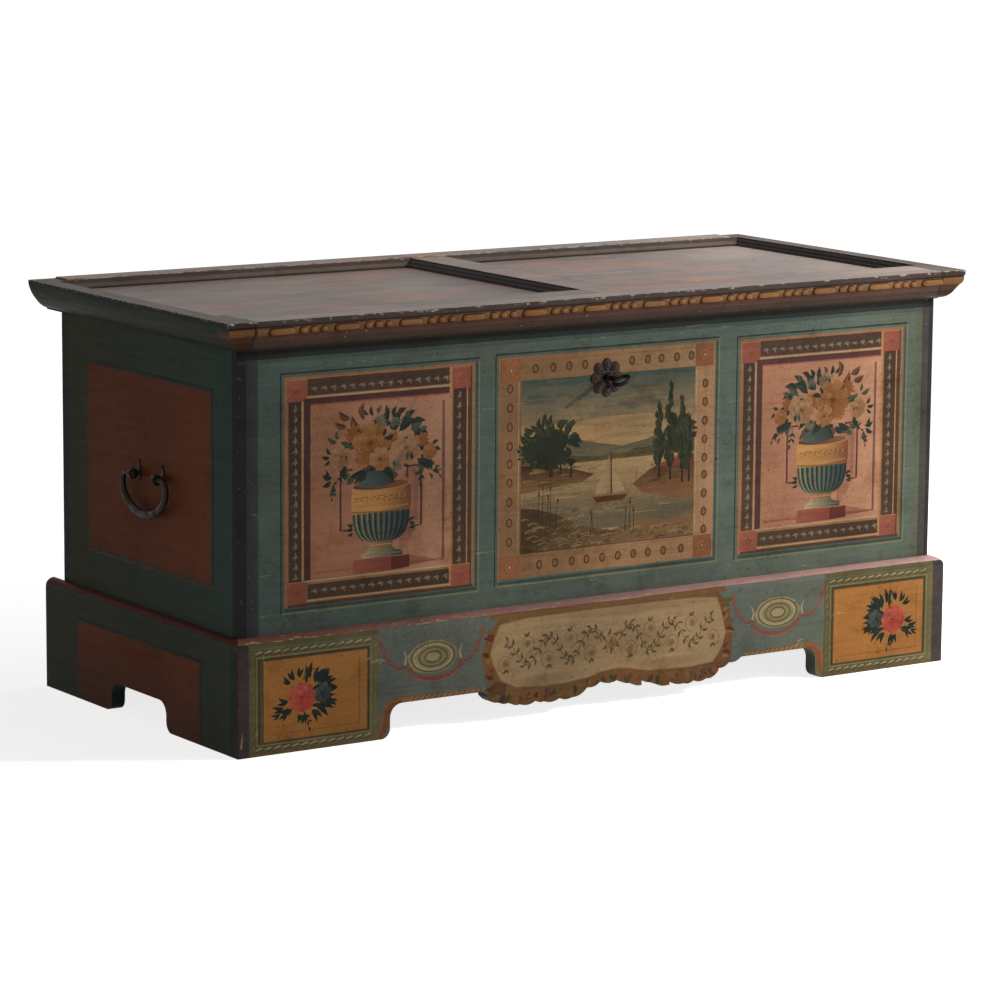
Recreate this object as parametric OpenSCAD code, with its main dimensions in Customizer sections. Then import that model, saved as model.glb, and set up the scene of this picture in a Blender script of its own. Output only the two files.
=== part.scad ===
// Painted wedding chest: a dovetailed box on a low base with sawn feet, a hinged lid with
// two sunk fields and a moulded edge, a lock with its key, and a bail handle on each end.
// Millimetres, +Z up, the front looks to -Y. The origin is on the floor, under the middle.

/* [Body] */
// Width of the box over its end boards
body_w = 1250; // [1000:10:1500]
// Depth of the box over its front and back boards
body_d = 518; // [440:2:640]
// Height of the box's top edge above the floor
body_top = 574; // [520:1:680]
// Thickness of the front, back and end boards
board_t = 26; // [22:1:32]
// Thickness of the bottom boards
bottom_t = 20; // [14:1:26]
// Number of bottom boards
bottom_count = 3; // [2:1:5]
// Number of dovetails in a corner
tail_count = 5; // [3:1:8]

/* [Base] */
// Height of the base where the box rises out of it
base_h = 167; // [150:1:200]
// Height of the base's rounded top
base_round_h = 12; // [6:1:20]
// How deep the box sits in the base
box_sink = 21; // [16:1:40]
// How far the base stands out at the front
base_out_front = 24; // [18:1:34]
// How far the base stands out at each end
base_out_side = 14; // [10:1:20]
// How far the base stands out at the back
base_out_back = 34; // [20:1:40]
// Thickness of the base's side boards
base_side_t = 22; // [20:1:30]
// Height of the cut between the front feet
front_cut_h = 50; // [36:1:70]
// Half width of that cut at the floor
front_cut_half = 402; // [320:1:440]
// Height of the cut between the feet of a side board
side_cut_h = 44; // [30:1:60]
// Half width of that cut at the floor
side_cut_half = 97; // [80:1:150]
// Radius of the shoulder at the top of a foot
foot_shoulder_r = 20; // [8:1:24]
// Radius of the flare at the bottom of a foot
foot_flare_r = 15; // [6:1:18]
// Half width of the leafy apron between the front feet
apron_half = 236; // [150:1:300]
// How far the apron hangs below the top of the cut
apron_drop = 29; // [10:1:34]
// Thickness of the ledgers that carry the box
ledger_t = 24; // [16:1:30]
// Width of the ledgers
ledger_w = 30; // [20:1:50]
// Side of the square corner blocks
block_w = 42; // [30:1:60]

/* [Lid] */
// How far the lid stands out at the front
lid_out_front = 35; // [28:1:45]
// How far the lid stands out at each end
lid_out_side = 35; // [28:1:45]
// How far the lid stands out at the back
lid_out_back = 39; // [28:1:45]
// Full thickness of the lid's moulded edge
lid_t = 45.7; // [40:0.1:60]
// Depth of the sunk fields
field_depth = 12; // [6:1:16]
// Width of the side pieces of the lid
cleat_w = 46; // [40:1:70]
// Flat top of a side piece, up to its moulded strip
cleat_flat = 28; // [20:1:36]
// Flat top at the front, edge moulding included
front_flat = 84; // [60:1:120]
// Flat top at the back
back_flat = 38; // [30:1:60]
// How much higher the back member stands
back_rise = 2; // [0:0.5:4]
// Width of the middle member
middle_w = 58; // [40:1:90]
// Place of the middle member, to the right of the centre
middle_x = 21; // [-40:1:40]
// Width of the moulded strips round the fields
strip_w = 18; // [10:1:26]
// Number of boards in the lid
lid_board_count = 3; // [2:1:5]
// Length of the tongues that hold the lid boards in the side pieces
tongue_l = 10; // [6:1:14]
// Thickness of those tongues
tongue_t = 12; // [8:1:16]

/* [Hinges] */
// Distance of the hinges from the middle of the chest
hinge_x = 400; // [250:5:480]
// Radius of the hinge knuckles
knuckle_r = 6; // [5:0.5:8]
// Radius of the hinge pins
hinge_pin_r = 3; // [2:0.25:3.5]
// Thickness of the hinge iron
hinge_t = 3; // [2:0.5:4]
// Width of the strap
strap_w = 34; // [26:1:44]
// Width of the leaf on the back board
leaf_w = 66; // [60:1:90]
// Height of that leaf
leaf_h = 150; // [90:5:220]
// Length of the strap under the lid
strap_l = 340; // [200:10:420]

/* [Lock] */
// Place of the keyhole, to the right of the centre
lock_x = 4; // [-30:1:30]
// Distance of the keyhole below the box's top edge
lock_drop = 80; // [76:1:100]
// Radius of the rosette round the keyhole
rosette_r = 29; // [24:1:40]
// Number of petals of the rosette
petal_count = 8; // [6:1:12]
// Thickness of the rosette
rosette_t = 2.5; // [1.5:0.5:4]
// Radius of the key's shank
shank_r = 4; // [3:0.25:5]
// How far the key stands out of the front board
key_out = 54; // [50:1:80]
// Outer radius of the key's bow
bow_r = 15; // [11:1:20]
// Turn of the bow out of the bit's plane, in degrees
bow_turn = 28; // [0:1:45]
// Reach of the key's bit from the middle of its shank
bit_reach = 15; // [11:1:16]
// Travel of the bolt over the whole turn of the key
bolt_travel = 18; // [16:1:20]

/* [Handles] */
// Place of the handles in front of the middle of the end boards
handle_shift = 12; // [-30:1:30]
// Height of the handle eyes
handle_z = 365; // [300:1:430]
// Distance between the two eyes of a handle
eye_gap = 70; // [50:1:110]
// Distance of an eye's bore from the end board
eye_reach = 12; // [11:0.5:20]
// Outer radius of an eye
eye_r = 8; // [6.5:0.5:9]
// Thickness of an eye
eye_t = 8; // [5:0.5:12]
// Radius of the bail's pins
bail_pin_r = 3.6; // [2.5:0.1:4]
// Radius of the bail's bow
bail_grip_r = 5; // [4:0.25:7]
// Bend of the bail's two lower corners
bail_corner_r = 28; // [16:1:30]
// Half width of the bail on its centre line
bail_half = 64; // [56:1:100]
// Drop of the bail's centre line below the eyes
bail_drop = 56; // [46:1:100]

/* [Hidden] */
$fn = 48;

// Clearances and overruns
over = 1;
gap = 0.3;
run_fit = 0.08;
seat_gap = 0.1;
board_gap = 0.2;

// Places in the shared frame
half_w = body_w / 2;
depth_all = key_out + body_d + lid_out_back;
front_y = key_out - depth_all / 2;
back_y = front_y + body_d;
mid_y = (front_y + back_y) / 2;
inner_front_y = front_y + board_t;
inner_back_y = back_y - board_t;
inner_half = half_w - board_t;
base_edge_h = base_h - base_round_h;
box_z = base_h - box_sink;
box_h = body_top - box_z;
base_half = half_w + base_out_side;
base_in_half = base_half - base_side_t;
base_front_y = front_y - base_out_front;
base_back_y = back_y + base_out_back;
base_mid_y = (base_front_y + base_back_y) / 2;

// Dovetails: share of the pitch at the root, and rise of the flank over the board
tail_pitch = box_h / tail_count;
tail_root_share = 0.55;
tail_slope_share = 0.14;

// The base's rounded top, as shares of its projection and of its rise
round_steps = 6;

// The apron's leafy lower edge: shares of its half width and of its drop, left to right
apron_x = 8;
apron_shares = [[-1, 0], [-0.97, 0.14], [-0.95, 0.45], [-0.88, 0.67], [-0.8, 0.74], [-0.72, 0.92],
    [-0.6, 0.84], [-0.54, 0.93], [-0.42, 0.87], [-0.33, 0.93], [-0.21, 0.52], [-0.11, 0.31],
    [0.03, 0.31], [0.13, 0.58], [0.21, 0.78], [0.2, 0.42], [0.3, 0.7], [0.43, 0.97], [0.42, 0.72],
    [0.54, 1], [0.62, 0.93], [0.72, 0.91], [0.8, 0.72], [0.82, 0.45], [0.9, 0.22], [1, 0]];
scallop_share = 0.12;
scallop_steps = 4;

// Lid levels and edges
lid_z = body_top + gap;
lid_top = lid_z + lid_t;
field_z = lid_top - field_depth;
lid_half = half_w + lid_out_side;
lid_front_y = front_y - lid_out_front;
lid_back_y = back_y + lid_out_back;
lid_in_half = lid_half - cleat_w;
field_half = lid_half - cleat_flat;
field_front_y = lid_front_y + front_flat;
field_back_y = lid_back_y - back_flat;
middle_left = middle_x - middle_w / 2;
middle_right = middle_x + middle_w / 2;

// Outlines of the lid's edge: shares of the projection and of the thickness, top to bottom
front_edge_shares = [[1, 1], [1, 0.83], [0.92, 0.81], [0.92, 0.77], [0.96, 0.75], [0.985, 0.69],
    [0.98, 0.63], [0.95, 0.57], [0.89, 0.53], [0.84, 0.52], [0.84, 0.5], [0.8, 0.45], [0.74, 0.38],
    [0.74, 0.355], [0.71, 0.33], [0.68, 0.24], [0.6, 0.15], [0.47, 0.08], [0.3, 0.045], [0.14, 0.04],
    [0.14, 0]];
side_edge_shares = [[1, 1], [0.985, 0.85], [0.93, 0.72], [0.85, 0.58], [0.75, 0.46], [0.62, 0.33],
    [0.47, 0.2], [0.3, 0.1], [0.12, 0.04], [0.12, 0]];
// Outline of the strips round the fields: shares of their width and of the field's depth
strip_shares = [[0, 0], [0, 1], [0.1, 1], [0.14, 0.84], [0.3, 0.78], [0.48, 0.62], [0.6, 0.4],
    [0.72, 0.3], [0.84, 0.27], [0.88, 0.14], [1, 0.12], [1, 0]];

// Hinge places
axis_y = back_y + knuckle_r + over;
axis_z = lid_z - knuckle_r - gap;
strap_z = lid_z - hinge_t;
knuckle_w = (leaf_w - strap_w) / 2 - gap;
strap_tip_share = 0.45;
strap_nail_shares = [0.3, 0.52, 0.74, 0.95];
leaf_nail_shares = [0.28, 0.6, 0.9];
pin_head_t = 2;
nail_r = 4;
nail_h = 1.4;
small_nail_r = 2.4;
small_nail_h = 1.2;

// Lock places
lock_z = body_top - lock_drop;
case_wall = 2.5;
case_depth = 25;
case_reach_left = 74;
case_reach_right = 46;
case_reach_low = 30;
case_head_gap = 6;
case_left = lock_x - case_reach_left;
case_right = lock_x + case_reach_right;
case_low = lock_z - case_reach_low;
case_top = lid_z - case_head_gap;
case_back_y = inner_front_y + case_depth;
bolt_h = 12;
bolt_t = 7;
bolt_drop = 20;
bolt_y = inner_front_y + case_depth / 2;
bolt_z = case_top - bolt_drop;
bolt_rest_gap = 1;
bolt_l = 82;
staple_t = 5;
staple_w = 15;
staple_reach = 28;
staple_end = 8;
staple_play = 2;
staple_x = lock_x + staple_reach;
staple_low = bolt_z - bolt_h / 2 - staple_end;
staple_hole_h = bolt_h + 2 * staple_play;
staple_plate_l = 60;
staple_plate_w = 30;
guide_w = 8;
tail_w = 10;
tail_x = lock_x - guide_w - bolt_travel / 2 - tail_w - over;
keyhole_r = shank_r + 1;
bit_t = 4;
bit_play = 1.5;
bit_w = 10;
bit_y = bolt_y;
slot_w = bit_t + bit_play;
bow_wire_r = 3;
collar_r = 6;
collar_w = 5;
rosette_petal_share = 0.3;
rosette_nail_share = 0.84;
rosette_nail_count = 4;

// Handle places
handle_y = mid_y - handle_shift;
eye_shank_r = 3;
clinch_t = 3;
clinch_w = 8;
clinch_l = 24;
plate_t = 2;
plate_w = 18;
plate_up = 21;
plate_down = 11;
bail_shoulder_r = 14;
bail_pin_in = 7;
knob_r = 4.4;
bend_ball_r = 3.9;
grip_ball_r = 5.4;

// A prism along X whose outline is drawn as [y, z], and one along Y drawn as [x, z]
module along_x(x0, x1) {
    translate([x0, 0, 0]) rotate([90, 0, 90]) linear_extrude(x1 - x0) children();
}

module along_y(y0, y1) {
    translate([0, y1, 0]) rotate([90, 0, 0]) linear_extrude(y1 - y0) children();
}

// A box given by its two corners
module block(low, high) {
    translate(low) cube(high - low);
}

// A domed nail head of radius r and height h on the plane z = 0, round side up
module nail_head(r, h) {
    ball_r = (r * r + h * h) / (2 * h);
    rotate_extrude() intersection() {
        translate([0, h - ball_r]) circle(ball_r);
        square([r, h]);
    }
}

// The box

// Tails of one corner as [x, z] outlines, wide at the end of the board
module tail_outlines() {
    root = tail_pitch * tail_root_share / 2;
    end = root + board_t * tail_slope_share;
    for (i = [0 : tail_count - 1]) {
        z = box_z + tail_pitch * (i + 0.5);
        polygon([[inner_half, z - root], [half_w, z - end], [half_w, z + end], [inner_half, z + root]]);
    }
}

module long_board(y0, y1) {
    block([-inner_half, y0, box_z], [inner_half, y1, body_top]);
    along_y(y0, y1) tail_outlines();
    mirror([1, 0, 0]) along_y(y0, y1) tail_outlines();
}

// The keyhole as an [x, z] outline: a round hole with a slot for the bit below it
module keyhole_outline() {
    translate([lock_x, lock_z]) circle(keyhole_r);
    translate([lock_x - slot_w / 2, lock_z - bit_reach - over]) square([slot_w, bit_reach + over]);
}

module front_board() {
    color("#4f7a76") difference() {
        long_board(front_y, inner_front_y);
        along_y(front_y - over, inner_front_y + over) keyhole_outline();
    }
}

module back_board() {
    color("#5b4a38") difference() {
        long_board(inner_back_y, back_y);
        for (side = [-1, 1])
            block([side * hinge_x - strap_w / 2 - over, inner_back_y - over, strap_z - gap],
                [side * hinge_x + strap_w / 2 + over, back_y + over, body_top + over]);
    }
}

// The right end board; the left one is its mirror image
module end_board() {
    difference() {
        block([inner_half, front_y, box_z], [half_w, back_y, body_top]);
        along_y(front_y - over, inner_front_y) tail_outlines();
        along_y(inner_back_y, back_y + over) tail_outlines();
        for (side = [-1, 1])
            translate([inner_half - over, handle_y + side * eye_gap / 2, handle_z]) rotate([0, 90, 0])
                cylinder(r = eye_shank_r + seat_gap, h = board_t + 2 * over);
    }
}

module left_end() {
    color("#7a3a2c") mirror([1, 0, 0]) end_board();
}

module right_end() {
    color("#7a3a2c") end_board();
}

module bottom_boards() {
    pitch = (inner_back_y - inner_front_y) / bottom_count;
    color("#8a6b48") for (i = [0 : bottom_count - 1])
        block([-inner_half, inner_front_y + i * pitch, box_z],
            [inner_half, inner_front_y + (i + 1) * pitch - board_gap, box_z + bottom_t]);
}

// The base

// Outline of a base board across its length: [distance out from the box, height].
// Its top is rounded down from the box to the outer edge; inside the box's face it is a rebate.
function base_outline(out, inside) = concat(
    [[-inside, 0], [out, 0], [out, base_edge_h]],
    [for (i = [1 : round_steps - 1])
        [out * cos(90 * i / round_steps), base_edge_h + (base_h - base_edge_h) * sin(90 * i / round_steps)]],
    [[0, base_h], [0, box_z], [-inside, box_z]]);

// The cut between two feet as an outline on the floor line, centred on zero
module foot_cut(half, h) {
    wall = half - foot_flare_r;
    low = min(foot_flare_r, h - foot_shoulder_r);
    right = concat(
        [[half, -over], [half, 0]],
        [for (a = [270 : -15 : 180]) [half + foot_flare_r * cos(a), low + low * sin(a)]],
        [for (a = [0 : 15 : 90])
            [wall - foot_shoulder_r + foot_shoulder_r * cos(a), h - foot_shoulder_r + foot_shoulder_r * sin(a)]]);
    count = len(right);
    polygon(concat(right, [for (i = [count - 1 : -1 : 0]) [-right[i][0], right[i][1]]]));
}

// A chain of small outward scallops between the points of a list
function scallop(p, q, share) = [for (i = [0 : scallop_steps - 1])
    let (t = i / scallop_steps, d = q - p, bulge = share * sin(180 * t))
    p + t * d + bulge * [d[1], -d[0]]];

module apron() {
    edge = [for (s = apron_shares) [apron_x + s[0] * apron_half, front_cut_h - s[1] * apron_drop]];
    last = len(edge) - 1;
    polygon(concat(
        [for (i = [0 : last - 1]) each scallop(edge[i], edge[i + 1], scallop_share)],
        [edge[last], [edge[last][0], front_cut_h + over], [edge[0][0], front_cut_h + over]]));
}

module base_front() {
    color("#7d8256") intersection() {
        difference() {
            along_x(-base_half, base_half)
                polygon([for (p = base_outline(base_out_front, 0)) [front_y - p[0], p[1]]]);
            along_y(base_front_y - over, front_y + over) difference() {
                foot_cut(front_cut_half, front_cut_h);
                apron();
            }
        }
        linear_extrude(base_h + over) polygon([[-base_half, base_front_y], [base_half, base_front_y],
            [half_w, front_y], [-half_w, front_y]]);
    }
}

// The right side board of the base; the left one is its mirror image
module base_side() {
    intersection() {
        difference() {
            along_y(base_front_y, base_back_y)
                polygon([for (p = base_outline(base_out_side, base_side_t - base_out_side)) [half_w + p[0], p[1]]]);
            translate([0, base_mid_y, 0]) along_x(base_in_half - over, base_half + over)
                foot_cut(side_cut_half, side_cut_h);
        }
        linear_extrude(base_h + over) polygon([[base_half, base_front_y], [base_half, base_back_y],
            [base_in_half, base_back_y], [base_in_half, front_y], [half_w, front_y]]);
    }
}

module base_left() {
    color("#5d4334") mirror([1, 0, 0]) base_side();
}

module base_right() {
    color("#5d4334") base_side();
}

module base_back() {
    color("#5b4a38") difference() {
        block([-base_in_half, back_y, 0], [base_in_half, base_back_y, base_edge_h]);
        along_y(back_y - over, base_back_y + over) foot_cut(front_cut_half, front_cut_h);
    }
}

module base_blocks() {
    color("#8a6b48") for (side = [-1, 1]) {
        x0 = side > 0 ? base_in_half - block_w : -base_in_half;
        block([x0, front_y, 0], [x0 + block_w, front_y + block_w, box_z - ledger_t]);
        block([x0, back_y - block_w, 0], [x0 + block_w, back_y, box_z - ledger_t]);
    }
}

module base_ledgers() {
    low = box_z - ledger_t;
    color("#8a6b48") {
        block([-base_in_half, front_y, low], [base_in_half, front_y + ledger_w, box_z]);
        block([-base_in_half, back_y - ledger_w, low], [base_in_half, back_y, box_z]);
        for (side = [-1, 1]) {
            x0 = side > 0 ? base_in_half - ledger_w : -base_in_half;
            block([x0, front_y + ledger_w, low], [x0 + ledger_w, back_y - ledger_w, box_z]);
        }
    }
}

// The lid

// Edge outlines as [distance out from the box, height], closed on the inside
function edge_outline(shares, out, inside) = concat(
    [for (s = shares) [s[0] * out, lid_z + s[1] * lid_t]],
    [[-inside, lid_z], [-inside, lid_top]]);

module front_edge(x0, x1, inside) {
    along_x(x0, x1) polygon([for (p = edge_outline(front_edge_shares, lid_out_front, inside)) [front_y - p[0], p[1]]]);
}

// The right side piece; its front end carries the same outline as the front moulding
module cleat() {
    deep = lid_back_y - front_y;
    tongue_low = (lid_z + field_z - tongue_t) / 2;
    difference() {
        intersection() {
            along_y(lid_front_y, lid_back_y)
                polygon([for (p = edge_outline(side_edge_shares, lid_out_side, cleat_w - lid_out_side)) [half_w + p[0], p[1]]]);
            front_edge(lid_in_half - over, lid_half + over, deep);
        }
        block([lid_in_half - over, field_front_y, field_z], [field_half, field_back_y, lid_top + over]);
        block([lid_in_half - over, front_y, tongue_low],
            [lid_in_half + tongue_l + gap, lid_back_y + over, tongue_low + tongue_t]);
    }
}

module lid_cleat_left() {
    color("#33392b") mirror([1, 0, 0]) cleat();
}

module lid_cleat_right() {
    color("#33392b") cleat();
}

module lid_front_moulding() {
    color("#a06a2c") front_edge(-lid_in_half, lid_in_half, 0);
}

module lid_boards() {
    pitch = (lid_back_y - front_y) / lid_board_count;
    tongue_low = (lid_z + field_z - tongue_t) / 2;
    color("#85766f") for (i = [0 : lid_board_count - 1]) {
        y0 = front_y + i * pitch;
        y1 = y0 + pitch - board_gap;
        block([-lid_in_half, y0, lid_z], [lid_in_half, y1, field_z]);
        block([-lid_in_half - tongue_l, y0, tongue_low], [lid_in_half + tongue_l, y1, tongue_low + tongue_t]);
    }
}

module lid_front_member() {
    color("#85766f") block([-lid_in_half, front_y, field_z], [lid_in_half, field_front_y, lid_top]);
}

module lid_back_member() {
    color("#85766f") block([-lid_in_half, field_back_y, field_z], [lid_in_half, lid_back_y, lid_top + back_rise]);
}

module lid_middle_member() {
    color("#85766f") block([middle_left, field_front_y, field_z], [middle_right, field_back_y, lid_top]);
}

// Four mitred strips round the field between x0 and x1
module field_strips(x0, x1) {
    y0 = field_front_y;
    y1 = field_back_y;
    outline = [for (s = strip_shares) [s[0] * strip_w, field_z + s[1] * field_depth]];
    intersection() {
        along_x(x0, x1) polygon([for (p = outline) [y0 + p[0], p[1]]]);
        linear_extrude(lid_top + over)
            polygon([[x0, y0], [x1, y0], [x1 - strip_w, y0 + strip_w], [x0 + strip_w, y0 + strip_w]]);
    }
    intersection() {
        along_x(x0, x1) polygon([for (p = outline) [y1 - p[0], p[1]]]);
        linear_extrude(lid_top + over)
            polygon([[x0, y1], [x1, y1], [x1 - strip_w, y1 - strip_w], [x0 + strip_w, y1 - strip_w]]);
    }
    intersection() {
        along_y(y0, y1) polygon([for (p = outline) [x0 + p[0], p[1]]]);
        linear_extrude(lid_top + over)
            polygon([[x0, y0], [x0, y1], [x0 + strip_w, y1 - strip_w], [x0 + strip_w, y0 + strip_w]]);
    }
    intersection() {
        along_y(y0, y1) polygon([for (p = outline) [x1 - p[0], p[1]]]);
        linear_extrude(lid_top + over)
            polygon([[x1, y0], [x1, y1], [x1 - strip_w, y1 - strip_w], [x1 - strip_w, y0 + strip_w]]);
    }
}

module field_strips_left() {
    color("#3c332f") field_strips(-field_half, middle_left);
}

module field_strips_right() {
    color("#3c332f") field_strips(middle_right, field_half);
}

// The hinges

module hinge_leaf(x) {
    color("#2e2b29") translate([x, 0, 0]) difference() {
        union() {
            block([-leaf_w / 2, back_y, axis_z - leaf_h], [leaf_w / 2, back_y + hinge_t, axis_z - knuckle_r - gap]);
            for (side = [-1, 1]) {
                x0 = side > 0 ? leaf_w / 2 - knuckle_w : -leaf_w / 2;
                block([x0, back_y, axis_z - knuckle_r - gap - over], [x0 + knuckle_w, back_y + hinge_t, axis_z]);
                translate([x0, axis_y, axis_z]) rotate([0, 90, 0]) cylinder(r = knuckle_r, h = knuckle_w);
            }
        }
        translate([-leaf_w / 2 - over, axis_y, axis_z]) rotate([0, 90, 0])
            cylinder(r = hinge_pin_r + run_fit, h = leaf_w + 2 * over);
    }
}

module hinge_leaf_left() {
    hinge_leaf(-hinge_x);
}

module hinge_leaf_right() {
    hinge_leaf(hinge_x);
}

// A pin through the three knuckles, with a flat head at each end
module hinge_pin(x) {
    color("#3a3633") translate([x, axis_y, axis_z]) rotate([0, 90, 0]) {
        translate([0, 0, -leaf_w / 2]) cylinder(r = hinge_pin_r, h = leaf_w);
        for (side = [-1, 1])
            translate([0, 0, side * (leaf_w + pin_head_t) / 2 - pin_head_t / 2])
                cylinder(r = (knuckle_r + hinge_pin_r) / 2, h = pin_head_t);
    }
}

module hinge_pin_left() {
    hinge_pin(-hinge_x);
}

module hinge_pin_right() {
    hinge_pin(hinge_x);
}

module leaf_nails() {
    color("#3a3633") for (x = [-hinge_x, hinge_x], side = [-1, 1], share = leaf_nail_shares)
        translate([x + side * (leaf_w / 2 - 2 * nail_r), back_y + hinge_t, axis_z - share * leaf_h])
            rotate([-90, 0, 0]) nail_head(nail_r, nail_h);
}

// The strap runs under the lid from its knuckle and ends in a round, pierced tip
module hinge_strap(x) {
    tip_r = strap_w * strap_tip_share;
    tip_y = axis_y - strap_l + tip_r;
    color("#2e2b29") translate([x, 0, 0]) difference() {
        union() {
            translate([0, 0, strap_z]) linear_extrude(hinge_t) {
                polygon([[-strap_w / 2, axis_y], [strap_w / 2, axis_y],
                    [tip_r / 2, tip_y], [-tip_r / 2, tip_y]]);
                translate([0, tip_y]) circle(tip_r);
            }
            translate([-strap_w / 2, axis_y, axis_z]) rotate([0, 90, 0]) cylinder(r = knuckle_r, h = strap_w);
        }
        translate([-strap_w / 2 - over, axis_y, axis_z]) rotate([0, 90, 0])
            cylinder(r = hinge_pin_r + run_fit, h = strap_w + 2 * over);
    }
}

module hinge_strap_left() {
    hinge_strap(-hinge_x);
}

module hinge_strap_right() {
    hinge_strap(hinge_x);
}

module strap_nails() {
    tip_r = strap_w * strap_tip_share;
    color("#3a3633") for (x = [-hinge_x, hinge_x], share = strap_nail_shares)
        translate([x, axis_y - share * (strap_l - tip_r), strap_z])
            rotate([180, 0, 0]) nail_head(nail_r, nail_h);
}

// The lock

// An iron rosette of domed petals round the keyhole
module rosette() {
    petal_r = rosette_r * rosette_petal_share;
    color("#4a3b37") difference() {
        along_y(front_y - rosette_t, front_y) {
            translate([lock_x, lock_z]) circle(rosette_r - petal_r);
            for (i = [0 : petal_count - 1])
                translate([lock_x, lock_z]) rotate(360 * i / petal_count)
                    translate([0, rosette_r - petal_r]) circle(petal_r);
        }
        along_y(front_y - rosette_t - over, front_y + over) keyhole_outline();
    }
}

module rosette_nails() {
    reach = rosette_r * rosette_nail_share;
    color("#3a3633") for (i = [0 : rosette_nail_count - 1]) {
        angle = 360 * (i + 0.5) / rosette_nail_count;
        translate([lock_x + reach * cos(angle), front_y - rosette_t, lock_z + reach * sin(angle)])
            rotate([90, 0, 0]) nail_head(small_nail_r, small_nail_h);
    }
}

// The lock's iron case inside the front board: a slot above for the staple, a bore for the
// key's end, and two guides that carry the bolt
module lock_case() {
    guide_x = [tail_x - bolt_travel / 2 - guide_w - over, lock_x - guide_w];
    color("#35312e") difference() {
        union() {
            difference() {
                block([case_left, inner_front_y, case_low], [case_right, case_back_y, case_top]);
                block([case_left + case_wall, inner_front_y - over, case_low + case_wall],
                    [case_right - case_wall, case_back_y - case_wall, case_top - case_wall]);
            }
            for (x = guide_x)
                block([x, inner_front_y, bolt_z - bolt_h / 2 - case_wall - gap],
                    [x + guide_w, case_back_y - over, bolt_z + bolt_h / 2 + case_wall + gap]);
        }
        block([case_left + case_wall, bolt_y - bolt_t / 2 - gap, bolt_z - bolt_h / 2 - gap],
            [case_right - case_wall, bolt_y + bolt_t / 2 + gap, bolt_z + bolt_h / 2 + gap]);
        block([staple_x - 2 * over, inner_front_y - over, case_top - case_wall - over],
            [staple_x + staple_t + 2 * over, bolt_y + staple_w / 2 + 2 * over, case_top + over]);
        translate([lock_x, case_back_y + over, lock_z]) rotate([90, 0, 0])
            cylinder(r = shank_r + run_fit, h = case_wall + 2 * over);
    }
}

module lock_rivets() {
    inset = 2 * small_nail_r;
    color("#3a3633") for (x = [case_left + inset, case_right - inset], z = [case_low + inset, case_top - inset])
        translate([x, case_back_y, z]) rotate([-90, 0, 0]) nail_head(small_nail_r, small_nail_h);
}

// The bolt at rest, half way, with its end just short of the staple; the key drives its tail
module lock_bolt() {
    tip_x = staple_x - bolt_rest_gap;
    tail_low = lock_z + bit_reach + over;
    color("#57524e") {
        block([tip_x - bolt_l, bolt_y - bolt_t / 2, bolt_z - bolt_h / 2],
            [tip_x, bolt_y + bolt_t / 2, bolt_z + bolt_h / 2]);
        block([tail_x, bolt_y - bolt_t / 2, tail_low], [tail_x + tail_w, bolt_y + bolt_t / 2, bolt_z]);
    }
}

// The key stands half turned: its bit lies flat, and its bow is turned up on the right
module key() {
    bow_mid = front_y - key_out + bow_r;
    ring_r = bow_r - bow_wire_r;
    shank_end = case_back_y + over;
    shank_start = bow_mid + ring_r;
    color("#2f2a27") {
        translate([lock_x, bow_mid, lock_z]) rotate([0, -bow_turn, 0])
            rotate_extrude() translate([ring_r, 0]) circle(bow_wire_r);
        translate([lock_x, shank_end, lock_z]) rotate([90, 0, 0]) cylinder(r = shank_r, h = shank_end - shank_start);
        translate([lock_x, front_y - rosette_t - 2 * over, lock_z]) rotate([90, 0, 0])
            cylinder(r = collar_r, h = collar_w);
        block([lock_x - bit_reach, bit_y - bit_w / 2, lock_z - bit_t / 2], [lock_x, bit_y + bit_w / 2, lock_z + bit_t / 2]);
    }
}

// The staple that hangs from the lid into the lock
module lid_staple() {
    mid_x = staple_x + staple_t / 2;
    plate_y = inner_front_y + gap + over;
    color("#35312e") {
        block([mid_x - staple_plate_l / 2, plate_y, lid_z - hinge_t],
            [mid_x + staple_plate_l / 2, plate_y + staple_plate_w, lid_z]);
        difference() {
            block([staple_x, bolt_y - staple_w / 2, staple_low],
                [staple_x + staple_t, bolt_y + staple_w / 2, lid_z - hinge_t]);
            block([staple_x - over, bolt_y - bolt_t / 2 - over, bolt_z - staple_hole_h / 2],
                [staple_x + staple_t + over, bolt_y + bolt_t / 2 + over, bolt_z + staple_hole_h / 2]);
        }
    }
}

module staple_nails() {
    mid_x = staple_x + staple_t / 2;
    reach = staple_plate_l / 2 - 2 * small_nail_r;
    color("#3a3633") for (side = [-1, 1])
        translate([mid_x + side * reach, inner_front_y + gap + over + staple_plate_w / 2, lid_z - hinge_t])
            rotate([180, 0, 0]) nail_head(small_nail_r, small_nail_h);
}

// The handles: each is drawn for the right end, in [out of the end board, y, z] from its middle

module at_handle(side) {
    translate([side * half_w, handle_y, handle_z]) mirror([side > 0 ? 0 : 1, 0, 0]) children();
}

// Two pointed iron plates under the eyes
module handle_plates(side) {
    color("#2e2b29") at_handle(side) for (end = [-1, 1])
        translate([0, end * eye_gap / 2, 0]) difference() {
            along_x(0, plate_t) polygon([[0, plate_up], [-plate_w / 4, plate_up / 3], [-plate_w / 2, 0],
                [-plate_w / 3, -plate_down * 2 / 3], [0, -plate_down], [plate_w / 3, -plate_down * 2 / 3],
                [plate_w / 2, 0], [plate_w / 4, plate_up / 3]]);
            translate([-over, 0, 0]) rotate([0, 90, 0]) cylinder(r = eye_shank_r + seat_gap, h = plate_t + 2 * over);
        }
}

module handle_plates_left() {
    handle_plates(-1);
}

module handle_plates_right() {
    handle_plates(1);
}

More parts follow.
